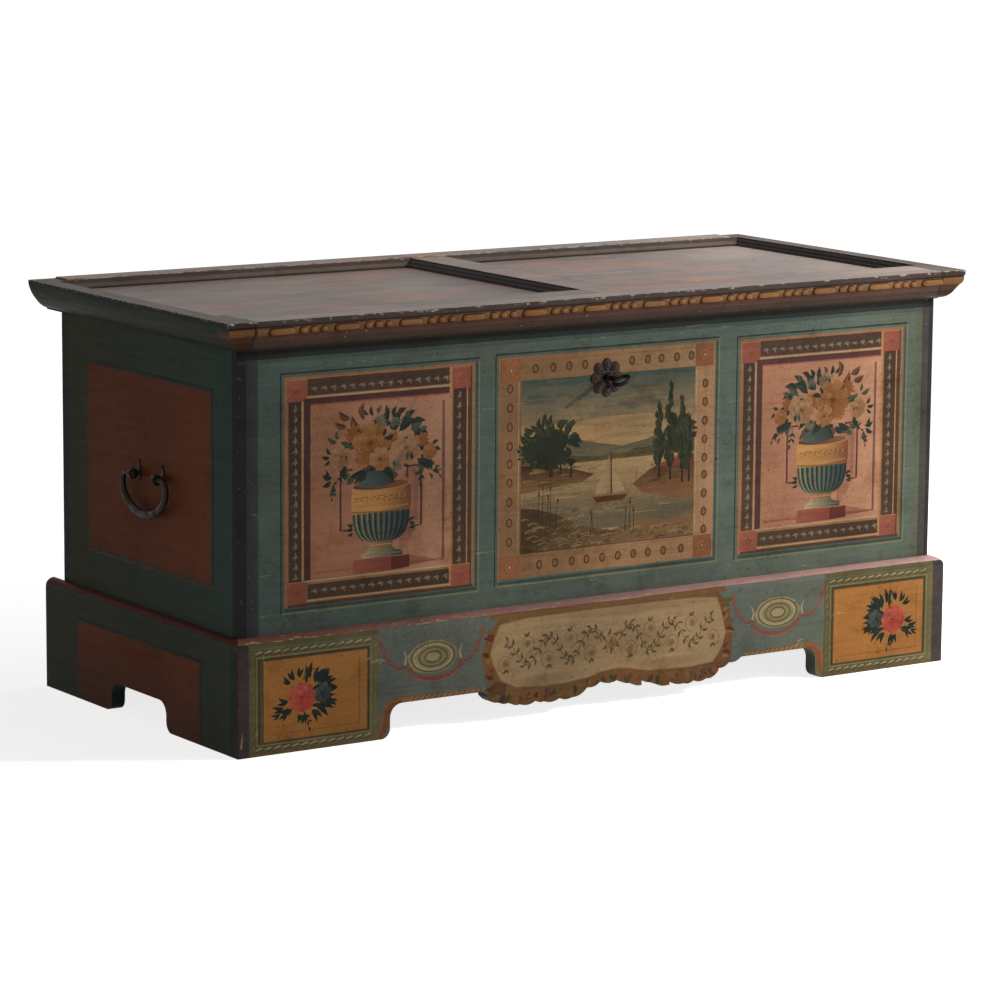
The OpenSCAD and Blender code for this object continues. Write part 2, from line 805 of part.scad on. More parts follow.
// Two eyes on shanks that go through the end board and are clinched inside
module handle_eyes(side) {
    color("#2e2b29") at_handle(side) for (end = [-1, 1])
        translate([0, end * eye_gap / 2, 0]) difference() {
            union() {
                translate([eye_reach, eye_t / 2, 0]) rotate([90, 0, 0]) cylinder(r = eye_r, h = eye_t);
                translate([-board_t - clinch_t / 2, 0, 0]) rotate([0, 90, 0])
                    cylinder(r = eye_shank_r, h = board_t + clinch_t / 2 + eye_reach);
                block([-board_t - clinch_t, -clinch_w / 2, -clinch_l / 4],
                    [-board_t, clinch_w / 2, clinch_l * 3 / 4]);
            }
            translate([eye_reach, eye_t / 2 + over, 0]) rotate([90, 0, 0])
                cylinder(r = bail_pin_r + run_fit, h = eye_t + 2 * over);
        }
}

module handle_eyes_left() {
    handle_eyes(-1);
}

module handle_eyes_right() {
    handle_eyes(1);
}

// A round bar bent to an arc in the plane x = 0, from angle a0 to a1 above the y axis
module bent_bar(middle, bend_r, bar_r, a0, a1) {
    translate([0, middle[0], middle[1]]) rotate([90, 0, 90]) rotate([0, 0, a0])
        rotate_extrude(angle = a1 - a0) translate([bend_r, 0]) circle(bar_r);
}

// The bail: a pin through each eye, a round shoulder outside it, then a bow of three arcs
module handle_bail(side) {
    pin_in = eye_gap / 2 - bail_pin_in;
    shoulder_y = bail_half - bail_shoulder_r;
    corner_y = bail_half - bail_corner_r;
    rise = bail_drop - bail_shoulder_r - bail_corner_r;
    lift = (corner_y * corner_y - rise * rise) / (2 * rise);
    sweep = atan(lift / corner_y);
    bottom_r = bail_corner_r + norm([corner_y, lift]);
    color("#3b332f") at_handle(side) translate([eye_reach, 0, 0]) {
        for (end = [0, 1]) mirror([0, end, 0]) {
            translate([0, pin_in, 0]) rotate([-90, 0, 0]) cylinder(r = bail_pin_r, h = shoulder_y - pin_in);
            translate([0, pin_in, 0]) sphere(knob_r);
            translate([0, shoulder_y, 0]) sphere(bend_ball_r);
            bent_bar([shoulder_y, -bail_shoulder_r], bail_shoulder_r, bail_pin_r, 0, 90);
            translate([0, bail_half, -bail_shoulder_r]) sphere(grip_ball_r);
            bent_bar([corner_y, -bail_shoulder_r], bail_corner_r, bail_grip_r, -sweep, 0);
            translate([0, corner_y + bail_corner_r * cos(sweep), -bail_shoulder_r - bail_corner_r * sin(sweep)])
                sphere(grip_ball_r);
        }
        bent_bar([0, lift - bail_shoulder_r], bottom_r, bail_grip_r, sweep - 180, -sweep);
    }
}

module handle_bail_left() {
    handle_bail(-1);
}

module handle_bail_right() {
    handle_bail(1);
}

base_front();
base_left();
base_right();
base_back();
base_blocks();
base_ledgers();
front_board();
back_board();
left_end();
right_end();
bottom_boards();
rosette();
rosette_nails();
lock_case();
lock_rivets();
lock_bolt();
key();
hinge_leaf_left();
hinge_leaf_right();
hinge_pin_left();
hinge_pin_right();
leaf_nails();
lid_boards();
lid_cleat_left();
lid_cleat_right();
lid_front_moulding();
lid_front_member();
lid_back_member();
lid_middle_member();
field_strips_left();
field_strips_right();
hinge_strap_left();
hinge_strap_right();
strap_nails();
lid_staple();
staple_nails();
handle_plates_left();
handle_plates_right();
handle_eyes_left();
handle_eyes_right();
handle_bail_left();
handle_bail_right();
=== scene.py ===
"""The painted wedding chest: paint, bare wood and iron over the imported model.

The tables are in millimetres and the scene is in metres. The front looks to -Y.
"""

import math
import random

import bmesh
import bpy
from mathutils import Matrix, Vector
from mathutils.geometry import delaunay_2d_cdt


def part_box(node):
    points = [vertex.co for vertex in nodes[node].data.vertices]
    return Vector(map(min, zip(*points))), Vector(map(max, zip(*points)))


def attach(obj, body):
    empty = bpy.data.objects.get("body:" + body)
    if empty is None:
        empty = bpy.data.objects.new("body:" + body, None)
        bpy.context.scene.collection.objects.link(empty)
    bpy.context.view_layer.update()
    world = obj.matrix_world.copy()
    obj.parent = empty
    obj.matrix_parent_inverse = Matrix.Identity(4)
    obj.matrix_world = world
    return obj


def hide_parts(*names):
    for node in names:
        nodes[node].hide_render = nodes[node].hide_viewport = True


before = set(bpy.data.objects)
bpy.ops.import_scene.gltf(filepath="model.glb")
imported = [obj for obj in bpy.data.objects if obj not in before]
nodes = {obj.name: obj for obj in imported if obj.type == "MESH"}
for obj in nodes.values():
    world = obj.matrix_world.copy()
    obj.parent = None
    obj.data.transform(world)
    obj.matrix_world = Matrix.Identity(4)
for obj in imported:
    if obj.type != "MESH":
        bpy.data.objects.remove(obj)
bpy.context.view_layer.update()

MM = 0.001

# Levels of the painted faces and of their edges, the lock's place and the rosette's radius, as packed
FRONT_Y = -251.5
BACK_Y = 266.5
END_X = 625.0
BASE_FRONT_Y = -275.5
BASE_END_X = 639.0
BOX_TOP = 574.0
BASE_TOP = 167.0
BASE_EDGE = 155.0
LOCK_X = 4.0
LOCK_Z = 494.0
ROSETTE_R = 29.0
# How far the painted sheets stand off the boards
PAINT_LIFT = 0.12

# Paints, as linear colours
TEAL = (0.078, 0.106, 0.092)
TEAL_LIGHT = (0.125, 0.165, 0.142)
TEAL_DARK = (0.040, 0.056, 0.052)
SLATE = (0.039, 0.036, 0.036)
NIGHT = (0.020, 0.020, 0.023)
GREEN = (0.066, 0.108, 0.084)
GREEN_DEEP = (0.042, 0.038, 0.011)
PINK = (0.375, 0.172, 0.100)
PINK_LIGHT = (0.45, 0.235, 0.145)
PINK_DARK = (0.20, 0.070, 0.050)
BRICK = (0.285, 0.092, 0.062)
BRICK_DARK = (0.12, 0.032, 0.026)
PANEL_RED = (0.280, 0.084, 0.032)
BROWN = (0.075, 0.046, 0.032)
PLUM = (0.078, 0.036, 0.034)
OCHRE = (0.400, 0.215, 0.108)
OCHRE_DARK = (0.190, 0.085, 0.035)
YELLOW = (0.385, 0.175, 0.050)
ORANGE = (0.420, 0.155, 0.050)
TAN = (0.280, 0.140, 0.068)
CREAM = (0.430, 0.320, 0.190)
AGED_CREAM = (0.330, 0.235, 0.125)
WHITE = (0.520, 0.430, 0.330)
OLIVE = (0.106, 0.095, 0.042)
OLIVE_LIGHT = (0.215, 0.200, 0.100)
OLIVE_DARK = (0.055, 0.052, 0.026)
LEAF = (0.020, 0.028, 0.023)
LEAF_LIGHT = (0.048, 0.062, 0.044)
INK = (0.030, 0.020, 0.016)


def add_object(name, data):
    obj = bpy.data.objects.new(name, data)
    bpy.context.collection.objects.link(obj)
    return obj


# Painting: flat shapes in millimetres, each laid over the ones before it

class Painting:
    """A painted face. Every shape is a list of points; a paint may fade from one colour to another."""

    def __init__(self, seed):
        self.points = []
        self.loops = []
        self.owners = []
        self.paints = []
        self.hand = random.Random(seed)
        self.vary = self.hand.uniform
        self.pick = self.hand.choice

    def mix(self, colour, end=None, along=None, cover=1.0, shift=0.05):
        """Adds a paint and returns its number. along is the line on which it fades to end."""
        tone = 1.0 + self.vary(-shift, shift)
        first = tuple(c * tone for c in colour)
        last = first if end is None else tuple(c * tone for c in end)
        self.paints.append((first, last, cover, along))
        return len(self.paints) - 1

    def lay(self, loop, paint):
        """Lays one outline of a paint, turned anticlockwise."""
        area = 0.0
        for i, p in enumerate(loop):
            q = loop[(i + 1) % len(loop)]
            area += p[0] * q[1] - q[0] * p[1]
        if abs(area) < 0.02:
            return
        ordered = loop if area > 0 else loop[::-1]
        start = len(self.points)
        self.points.extend(ordered)
        self.loops.append(list(range(start, start + len(ordered))))
        self.owners.append(paint)

    def fill(self, loop, colour, **look):
        self.lay(loop, self.mix(colour, **look))

    def edge(self, p, q, shake, step=14.0):
        """Points from p up to but not with q, a little off the straight line."""
        count = max(1, int(math.dist(p, q) / step))
        out = []
        for i in range(count):
            t = i / count
            off = 0.0 if i == 0 else self.vary(-shake, shake)
            n = (-(q[1] - p[1]), q[0] - p[0])
            size = math.hypot(*n) or 1.0
            out.append((p[0] + t * (q[0] - p[0]) + off * n[0] / size,
                        p[1] + t * (q[1] - p[1]) + off * n[1] / size))
        return out

    def box(self, x0, z0, x1, z1, colour, shake=0.25, **look):
        corners = [(x0, z0), (x1, z0), (x1, z1), (x0, z1)]
        loop = []
        for i in range(4):
            loop += self.edge(corners[i], corners[(i + 1) % 4], shake)
        self.fill(loop, colour, **look)

    def stroke(self, path, width, colour, taper=(1.0, 1.0), shake=0.0, **look):
        """A brush stroke along a path. taper scales its width at the start and at the end."""
        paint = self.mix(colour, **look)
        count = len(path)
        sides = []
        for i, p in enumerate(path):
            a = path[max(0, i - 1)]
            b = path[min(count - 1, i + 1)]
            n = (-(b[1] - a[1]), b[0] - a[0])
            size = math.hypot(*n) or 1.0
            t = i / max(1, count - 1)
            scale = taper[0] + (taper[1] - taper[0]) * t
            half = width / 2 * max(0.08, scale) + self.vary(-shake, shake)
            sides.append(((p[0] + n[0] / size * half, p[1] + n[1] / size * half),
                          (p[0] - n[0] / size * half, p[1] - n[1] / size * half)))
        for (a, b), (c, d) in zip(sides, sides[1:]):
            self.lay([a, b, d, c], paint)

    def line(self, p, q, width, colour, shake=0.15, **look):
        path = self.edge(p, q, shake, step=18.0) + [q]
        self.stroke(path, width, colour, shake=width * 0.12, **look)

    def rules(self, *rows):
        """Straight lines: two ends, a width, a colour and how much it covers."""
        for x0, z0, x1, z1, width, colour, cover in rows:
            self.line((x0, z0), (x1, z1), width, colour, cover=cover)

    def wash(self, count, xs, zs, reaches, widths, tones, cover, thin=0.2, tone_last=False):
        """Faint level strokes. Each tone is drawn before its width, or after it with tone_last."""
        for _ in range(count):
            x = self.vary(*xs)
            z = self.vary(*zs)
            reach = self.vary(*reaches)
            tone = None if tone_last else self.pick(tones)
            path = [(x, z), (x + reach / 2, z + self.vary(-1, 1)), (x + reach, z)]
            width = self.vary(*widths)
            self.stroke(path, width, tone or self.pick(tones), taper=(1, thin), cover=cover)

    def chip(self, x, z, rises, widths, cover):
        """A short pale chip that runs upward."""
        self.stroke([(x, z), (x + self.vary(-2, 2), z + self.vary(*rises))], self.vary(*widths), CREAM,
                    taper=(1, 0.3), cover=cover)

    def scratches(self, rows, width, lift, thin=0.3, **look):
        """Pale scratches: where each starts, how far it reaches and how far it rises."""
        for x, z, reach, rise in rows:
            path = [(x, z), (x + reach / 2, z + rise / 2 + lift), (x + reach, z + rise)]
            self.stroke(path, width, CREAM, taper=(1, thin), **look)

    def oval(self, x, z, rx, rz, colour, turn=0.0, count=14, shake=0.04, **look):
        loop = []
        for i in range(count):
            a = 2 * math.pi * i / count
            r = 1.0 + self.vary(-shake, shake)
            loop.append((rx * r * math.cos(a), rz * r * math.sin(a)))
        self.fill(turned(x, z, turn, loop), colour, **look)

    def ring(self, x, z, rx, rz, width, colour, span=(0.0, 1.0), count=16, **look):
        """A ring, or the part of it between two shares of a turn."""
        path = []
        for i in range(count + 1):
            a = 2 * math.pi * (span[0] + (span[1] - span[0]) * i / count)
            path.append((x + rx * math.cos(a), z + rz * math.sin(a)))
        self.stroke(path, width, colour, **look)

    def leaf(self, x, z, turn, length, width, colour, light=None, bend=0.12):
        """A pointed leaf from its stalk at (x, z), with a lighter half and a vein."""
        across = [0.0, 0.62, 0.95, 1.0, 0.78, 0.42, 0.0]
        upper = []
        lower = []
        spine = []
        for i, share in enumerate(across):
            t = i / (len(across) - 1)
            mid = bend * length * math.sin(math.pi * t)
            rough = 1.0 + self.vary(-0.08, 0.08)
            spine.append((t * length, mid))
            upper.append((t * length, mid + share * rough * width / 2))
            lower.append((t * length, mid - share * rough * width / 2))
        self.fill(turned(x, z, turn, lower[:-1] + upper[:0:-1]), colour, shift=0.12)
        if light:
            vein = turned(x, z, turn, spine)
            half = turned(x, z, turn, spine[:-1] + upper[:0:-1])
            self.fill(half, colour, end=light, cover=0.5, along=(vein[0], vein[-1]))
            self.stroke(vein, width * 0.09, light, taper=(1.2, 0.3), cover=0.5)

    def sprig(self, x, z, turn, length, colour, light=None, pairs=3, size=0.42):
        """A stalk with leaves in pairs and one at its tip."""
        shares = [i / 6 for i in range(7)]
        path = turned(x, z, turn, [(t * length, 0.12 * length * math.sin(math.pi * t)) for t in shares])
        self.stroke(path, length * 0.035 + 0.35, colour, taper=(1.2, 0.5))
        for i in range(pairs):
            p = path[2 + (i * 4) // pairs]
            for side in (-1, 1):
                spread = side * self.vary(0.6, 0.95)
                reach = length * size * self.vary(0.85, 1.1)
                self.leaf(p[0], p[1], turn + spread, reach, reach * 0.42, colour, light)
        self.leaf(path[-1][0], path[-1][1], turn, length * size, length * size * 0.42, colour, light)

    def flower(self, x, z, r, base, light, dark, petals=8):
        """A full bloom in three tiers of petals, light at their rims and dark toward its middle."""
        start = self.vary(0, 6.28)
        self.oval(x, z, r * 0.8, r * 0.78, dark, count=14)
        tiers = ((0.60, 0.40, petals), (0.40, 0.34, petals - 2), (0.19, 0.25, 4))
        for tier, (reach, size, count) in enumerate(tiers):
            for i in range(count):
                a = start + tier * 0.45 + 2 * math.pi * (i + self.vary(-0.2, 0.2)) / count
                far = r * reach * self.vary(0.92, 1.08)
                c = math.cos(a)
                d = math.sin(a)
                lit = 0.5 + 0.5 * (d * 0.8 - c * 0.6)
                rim = tuple(b + (e - b) * (0.25 + 0.75 * lit) for b, e in zip(base, light))
                core = tuple(0.45 * b + 0.55 * e for b, e in zip(base, dark))
                low = r * (reach - size * 0.85)
                high = r * (reach + size * 0.8)
                root = (x + low * c, z + low * d)
                tip = (x + high * c, z + high * d)
                self.oval(x + far * c, z + far * d, r * size, r * size * 0.82, core, turn=a, count=11,
                          shake=0.07, shift=0.12, end=rim, along=(root, tip))
                turn = a / 6.2832
                self.ring(x + far * c, z + far * d, r * size * 0.92, r * size * 0.76, r * 0.045, rim, count=6,
                          span=(turn - 0.17, turn + 0.17), cover=0.5)
        self.oval(x, z, r * 0.11, r * 0.10, dark, count=8)

    def rays(self, x, z, r, colour, light, count=12):
        """An open bloom of two tiers of narrow petals."""
        start = self.vary(0, 6.28)
        for tier, scale in enumerate((1.0, 0.62)):
            for i in range(count - 3 * tier):
                a = start + 0.3 * tier + 2 * math.pi * i / (count - 3 * tier) + self.vary(-0.15, 0.15)
                self.leaf(x, z, a, r * scale * self.vary(0.82, 1.08), r * 0.36, colour, light, bend=0.08)
        self.oval(x, z, r * 0.17, r * 0.17, OCHRE_DARK, count=8)

    def mesh(self, name, place, outline=None, holes=()):
        """Cuts all shapes into one flat mesh. Each corner gets the paints that lie there, in order."""
        points = [Vector(p) for p in self.points]
        edges = []
        for p, q in outline or ():
            edges.append((len(points), len(points) + 1))
            points += [Vector(p), Vector(q)]
        cut = delaunay_2d_cdt(points, edges, self.loops, 0, 1e-3, True)
        flat, tris, covers = cut[0], cut[2], cut[5]
        faces = []
        colours = []
        for tri, cover in zip(tris, covers):
            if not cover:
                continue
            mid = sum((flat[i] for i in tri), Vector((0, 0))) / len(tri)
            if outline and not inside(mid, outline):
                continue
            if any(inside(mid, hole) for hole in holes):
                continue
            layers = sorted({self.owners[i] for i in cover})
            faces.append(tri)
            colours += [self.colour_at(flat[i], layers) for i in tri]
        used = sorted({i for f in faces for i in f})
        index = {old: new for new, old in enumerate(used)}
        data = bpy.data.meshes.new(name)
        data.from_pydata([place(flat[i][0], flat[i][1]) for i in used], [],
                         [[index[i] for i in f] for f in faces])
        layer = data.color_attributes.new("paint", "FLOAT_COLOR", "CORNER")
        for i, colour in enumerate(colours):
            layer.data[i].color = (*colour, 1.0)
        return add_object(name, data)

    def colour_at(self, point, layers):
        out = (0.0, 0.0, 0.0)
        for number in layers:
            first, last, cover, along = self.paints[number]
            t = 0.0
            if along:
                a = Vector(along[0])
                d = Vector(along[1]) - a
                t = min(1.0, max(0.0, (point - a).dot(d) / (d.dot(d) or 1.0)))
            out = tuple(o * (1 - cover) + (f + (e - f) * t) * cover for o, f, e in zip(out, first, last))
        return out


class Patch:
    """A part of a painting with its own origin and units."""

    def __init__(self, art, x, z, wide=1, high=1):
        self.art = art
        self.spot = (x, z, wide, high)

    def at(self, u, v):
        x, z, wide, high = self.spot
        return (x + u * wide, z + v * high)

    def all_at(self, points):
        return [self.at(u, v) for u, v in points]

    def fill(self, points, colour, along=None, **look):
        self.art.fill(self.all_at(points), colour, along=along and self.all_at(along), **look)

    def stroke(self, points, width, colour, **look):
        self.art.stroke(self.all_at(points), width, colour, **look)


def turned(x, z, turn, points):
    """Points turned about the origin and then moved to (x, z)."""
    c = math.cos(turn)
    d = math.sin(turn)
    return [(x + u * c - v * d, z + u * d + v * c) for u, v in points]


def facing(turn, flip):
    """A direction in degrees as radians, mirrored when flip is -1."""
    return math.radians(turn if flip > 0 else 180 - turn)


def inside(point, segments):
    """Whether a point is inside the outline made by loose segments."""
    x, z = point
    hit = False
    for (ax, az), (bx, bz) in segments:
        if (az > z) != (bz > z) and x < ax + (z - az) * (bx - ax) / (bz - az):
            hit = not hit
    return hit


def loop_segments(loop):
    return [(loop[i], loop[(i + 1) % len(loop)]) for i in range(len(loop))]


def face_outline(node, axis, value, flip=1):
    """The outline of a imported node's flat face, as loose segments in the face's own two directions."""
    mesh = nodes[node].data
    across = 0 if axis == 1 else 1
    seen = {}
    for poly in mesh.polygons:
        corners = [mesh.vertices[i].co for i in poly.vertices]
        if any(abs(c[axis] / MM - value) > 0.02 for c in corners):
            continue
        flat = [(round(flip * c[across] / MM, 2), round(c[2] / MM, 2)) for c in corners]
        for p, q in loop_segments(flat):
            key = (min(p, q), max(p, q))
            seen[key] = seen.get(key, 0) + 1
    return [key for key, count in seen.items() if count == 1 and key[0] != key[1]]


# Where a picture's points lie in the scene; u runs to the right as seen

def on_front(y):
    return lambda u, v: (u * MM, (y - PAINT_LIFT) * MM, v * MM)


def on_left(x):
    return lambda u, v: ((-x - PAINT_LIFT) * MM, -u * MM, v * MM)


def on_right(x):
    return lambda u, v: ((x + PAINT_LIFT) * MM, u * MM, v * MM)


# Shader tools

class Graph:
    """A node tree that is being built. Each input gets a socket, which is linked, or a plain value."""

    def __init__(self, tree):
        self.tree = tree

    def put(self, kind, values=None, **settings):
        """Adds a node with its settings and the values of its inputs."""
        node = self.tree.nodes.new(kind)
        for key, value in settings.items():
            setattr(node, key, value)
        for key, value in (values or {}).items():
            socket = node.inputs[key]
            if isinstance(value, bpy.types.NodeSocket):
                self.tree.links.new(value, socket)
            else:
                socket.default_value = (*value[:3], 1.0) if socket.type == "RGBA" else value
        return node

    def math(self, operation, a, b=0.0, clamp=False):
        return self.put("ShaderNodeMath", {0: a, 1: b}, operation=operation, use_clamp=clamp).outputs[0]

    def times(self, a, b):
        return self.math("MULTIPLY", a, b)

    def plus(self, a, b, clamp=False):
        return self.math("ADD", a, b, clamp)

    def minus(self, a, b, clamp=False):
        return self.math("SUBTRACT", a, b, clamp)

    def above(self, a, b):
        return self.math("GREATER_THAN", a, b)

    def below(self, a, b):
        return self.math("LESS_THAN", a, b)

    def most(self, a, b):
        return self.math("MAXIMUM", a, b)

    def size(self, a):
        return self.math("ABSOLUTE", a)

    def vector(self, operation, *values):
        node = self.put("ShaderNodeVectorMath", dict(enumerate(values)), operation=operation)
        return node.outputs["Value" if operation == "LENGTH" else 0]

    def stretched(self, place, scale):
        return self.vector("MULTIPLY", place, scale)

    def remap(self, value, low, high, to_low=0.0, to_high=1.0):
        return self.put("ShaderNodeMapRange", {"Value": value, "From Min": low, "From Max": high,
                                               "To Min": to_low, "To Max": to_high}).outputs[0]

    def blend(self, share, a, b, mode="MIX"):
        return self.put("ShaderNodeMix", {0: share, 6: a, 7: b}, data_type="RGBA", blend_type=mode).outputs[2]

    def tinted(self, a, b):
        return self.blend(1.0, a, b, "MULTIPLY")

    def grey(self, value):
        return self.put("ShaderNodeCombineColor", {0: value, 1: value, 2: value}).outputs[0]

    def noise(self, place, scale, detail=3.0, rough=0.5, warp=0.0):
        return self.put("ShaderNodeTexNoise", {"Vector": place, "Scale": scale, "Detail": detail,
                                               "Roughness": rough, "Distortion": warp}).outputs["Fac"]

    def result(self, node, **values):
        for label, value in values.items():
            self.tree.links.new(value, node.inputs[label])


FLOAT = "NodeSocketFloat"
INT = "NodeSocketInt"
COLOUR = "NodeSocketColor"
VECTOR = "NodeSocketVector"


def new_group(name, inputs, outputs, tree_kind="ShaderNodeTree"):
    """A node group with labelled inputs and outputs."""
    tree = bpy.data.node_groups.new(name, tree_kind)
    for label, kind, value in inputs:
        socket = tree.interface.new_socket(label, in_out="INPUT", socket_type=kind)
        if value is not None:
            socket.default_value = (*value, 1.0) if kind == COLOUR else value
    for label, kind in outputs:
        tree.interface.new_socket(label, in_out="OUTPUT", socket_type=kind)
    return Graph(tree), tree.nodes.new("NodeGroupInput").outputs, tree.nodes.new("NodeGroupOutput")


def make_brushed_paint():
    """Old oil paint: brush streaks, mottling, fine cracks, grime, and chips down to the ground."""
    g, gin, gout = new_group("brushed_paint", [
        ("Place", VECTOR, (0, 0, 0)), ("Paint", COLOUR, TEAL), ("Ground", COLOUR, AGED_CREAM),
        ("Along", VECTOR, (9, 160, 160)), ("Streaks", FLOAT, 0.5), ("Cracks", FLOAT, 0.5),
        ("Chips", FLOAT, 0.3), ("Edge", FLOAT, 0.0)],
        [("Colour", COLOUR), ("Roughness", FLOAT), ("Height", FLOAT), ("Bare", FLOAT)])
    place = gin["Place"]
    hair = g.noise(g.stretched(place, gin["Along"]), 1.0, detail=4.0, rough=0.6)
    cloud = g.noise(place, 7.0, detail=4.0, rough=0.55)
    speck = g.noise(place, 420.0, detail=2.0)
    tone = g.times(g.minus(hair, 0.5), gin["Streaks"])
    tone = g.plus(tone, g.remap(cloud, 0.3, 0.7, -0.19, 0.18))
    tone = g.plus(tone, g.remap(speck, 0.3, 0.7, -0.11, 0.11))
    colour = g.tinted(gin["Paint"], g.grey(g.plus(tone, 1.0)))
    warm = g.remap(g.noise(place, 3.2, detail=2.0), 0.4, 0.7, 0.0, 0.35)
    colour = g.blend(warm, colour, g.tinted(colour, (1.12, 0.98, 0.80)))
    noise = g.put("ShaderNodeTexNoise", {"Vector": place, "Scale": 60.0}).outputs["Color"]
    warped = g.vector("MULTIPLY_ADD", noise, (0.012, 0.012, 0.012), place)
    cell = g.put("ShaderNodeTexVoronoi", {"Vector": warped, "Scale": 85.0},
                 feature="DISTANCE_TO_EDGE").outputs["Distance"]
    crack = g.remap(cell, 0.0, 0.045, 1.0, 0.0)
    where = g.remap(g.noise(place, 11.0, detail=3.0), 0.46, 0.62)
    crack = g.times(g.times(crack, where), gin["Cracks"])
    colour = g.blend(g.times(crack, 0.55), colour, (0.02, 0.014, 0.010))
    grime_and_painted_shade = g.remap(g.noise(place, 26.0, detail=6.0, rough=0.7), 0.53, 0.70, 0.0, 0.65)
    colour = g.blend(grime_and_painted_shade, colour, g.tinted(colour, (0.62, 0.56, 0.50)))
    spot = g.put("ShaderNodeTexVoronoi", {"Vector": place, "Scale": 48.0}).outputs["Distance"]
    dark_spot = g.remap(spot, 0.045, 0.075, 0.75, 0.0)
    colour = g.blend(dark_spot, colour, (0.018, 0.013, 0.010))
    flake = g.noise(g.stretched(place, (55, 150, 150)), 1.0, detail=5.0, rough=0.7)
    lift = g.plus(g.times(gin["Chips"], 0.06), g.times(gin["Edge"], 0.34))
    bare = g.remap(g.plus(flake, lift), 0.735, 0.755)
    colour = g.blend(bare, colour, gin["Ground"])
    rough = g.remap(hair, 0.3, 0.7, 0.38, 0.55)
    rough = g.plus(rough, g.times(bare, 0.25), clamp=True)
    height = g.minus(g.times(hair, 0.5), g.times(crack, 0.5))
    height = g.minus(height, g.times(bare, 0.6))
    g.result(gout, Colour=colour, Roughness=rough, Height=height, Bare=bare)
    return g.tree


def make_edge_wear():
    """How near a point is to the edges of a box: 1 on an edge, 0 at Width from it."""
    g, gin, gout = new_group("edge_wear", [
        ("Place", VECTOR, (0, 0, 0)), ("Low", VECTOR, (0, 0, 0)), ("High", VECTOR, (0, 0, 0)),
        ("Width", FLOAT, 0.004)], [("Mask", FLOAT)])
    low = g.vector("SUBTRACT", gin["Place"], gin["Low"])
    high = g.vector("SUBTRACT", gin["High"], gin["Place"])
    near = g.vector("ABSOLUTE", g.vector("MINIMUM", low, high))
    x, y, z = g.put("ShaderNodeSeparateXYZ", {0: near}).outputs
    second = g.most(g.math("MINIMUM", x, y), g.math("MINIMUM", g.most(x, y), z))
    share = g.math("DIVIDE", second, gin["Width"])
    g.result(gout, Mask=g.minus(1.0, share, clamp=True))
    return g.tree


def make_wood():
    """Softwood in the solid: growth rings round a far pith, fine grain, and dirt in the open pores."""
    g, gin, gout = new_group("softwood", [
        ("Place", VECTOR, (0, 0, 0)), ("Stretch", VECTOR, (0.06, 1, 1)), ("Fine", VECTOR, (6, 220, 220)),
        ("Pale", COLOUR, (0.42, 0.27, 0.14)), ("Dark", COLOUR, (0.22, 0.12, 0.055)), ("Dirt", FLOAT, 0.4)],
        [("Colour", COLOUR), ("Roughness", FLOAT), ("Height", FLOAT)])
    place = gin["Place"]
    solid = g.stretched(place, gin["Stretch"])
    bend = g.put("ShaderNodeTexNoise", {"Vector": solid, "Scale": 5.0, "Detail": 2.0}).outputs["Color"]
    solid = g.vector("MULTIPLY_ADD", bend, (0.10, 0.10, 0.10), solid)
    reach = g.vector("LENGTH", g.vector("ADD", solid, (0.02, 0.13, 0.09)))
    ring = g.math("FRACT", g.times(reach, 130.0))
    late = g.remap(ring, 0.35, 0.95)
    late = g.times(late, g.remap(ring, 0.95, 1.0, 1.0, 0.0))
    fine = g.noise(g.stretched(place, gin["Fine"]), 1.0, detail=4.0, rough=0.65)
    share = g.times(late, 0.75)
    share = g.plus(share, g.remap(fine, 0.35, 0.75, -0.15, 0.45), clamp=True)
    colour = g.blend(share, gin["Pale"], gin["Dark"])
    cloud = g.noise(place, 5.0, detail=5.0, rough=0.6)
    stain = g.times(g.remap(cloud, 0.42, 0.68), gin["Dirt"])
    colour = g.blend(stain, colour, g.tinted(colour, (0.45, 0.40, 0.36)))
    rough = g.remap(fine, 0.3, 0.7, 0.62, 0.85)
    height = g.minus(fine, g.times(late, 0.35))
    g.result(gout, Colour=colour, Roughness=rough, Height=height)
    return g.tree


def make_iron():
    """Forged iron: a dark skin with hammer dents, brown rust in patches and rubbed bright spots."""
    g, gin, gout = new_group("forged_iron", [
        ("Place", VECTOR, (0, 0, 0)), ("Skin", COLOUR, (0.05, 0.043, 0.040)),
        ("Rust", COLOUR, (0.13, 0.055, 0.030)), ("Rusty", FLOAT, 0.5)],
        [("Colour", COLOUR), ("Roughness", FLOAT), ("Metallic", FLOAT), ("Height", FLOAT)])
    place = gin["Place"]
    dents = g.put("ShaderNodeTexVoronoi", {"Vector": place, "Scale": 140.0, "Smoothness": 0.8},
                  feature="SMOOTH_F1").outputs["Distance"]
    pits = g.noise(place, 600.0, detail=4.0, rough=0.7)
    patch = g.noise(place, 70.0, detail=5.0, rough=0.65)
    rust = g.remap(g.plus(patch, g.times(gin["Rusty"], 0.2)), 0.54, 0.68)
    colour = g.blend(rust, gin["Skin"], gin["Rust"])
    colour = g.tinted(colour, g.grey(g.remap(pits, 0.3, 0.7, 0.75, 1.3)))
    rough = g.remap(rust, 0.0, 1.0, 0.5, 0.85)
    metal = g.remap(rust, 0.0, 1.0, 0.25, 0.05)
    height = g.plus(g.times(dents, 0.6), g.times(pits, 0.25))
    g.result(gout, Colour=colour, Roughness=rough, Metallic=metal, Height=height)
    return g.tree


BRUSHED = make_brushed_paint()
EDGE_WEAR = make_edge_wear()
WOOD = make_wood()
IRON = make_iron()


def cleared(owner, output):
    """The emptied node tree of a material or world, and its new output."""
    owner.use_nodes = True
    owner.node_tree.nodes.clear()
    g = Graph(owner.node_tree)
    return g, g.put(output)


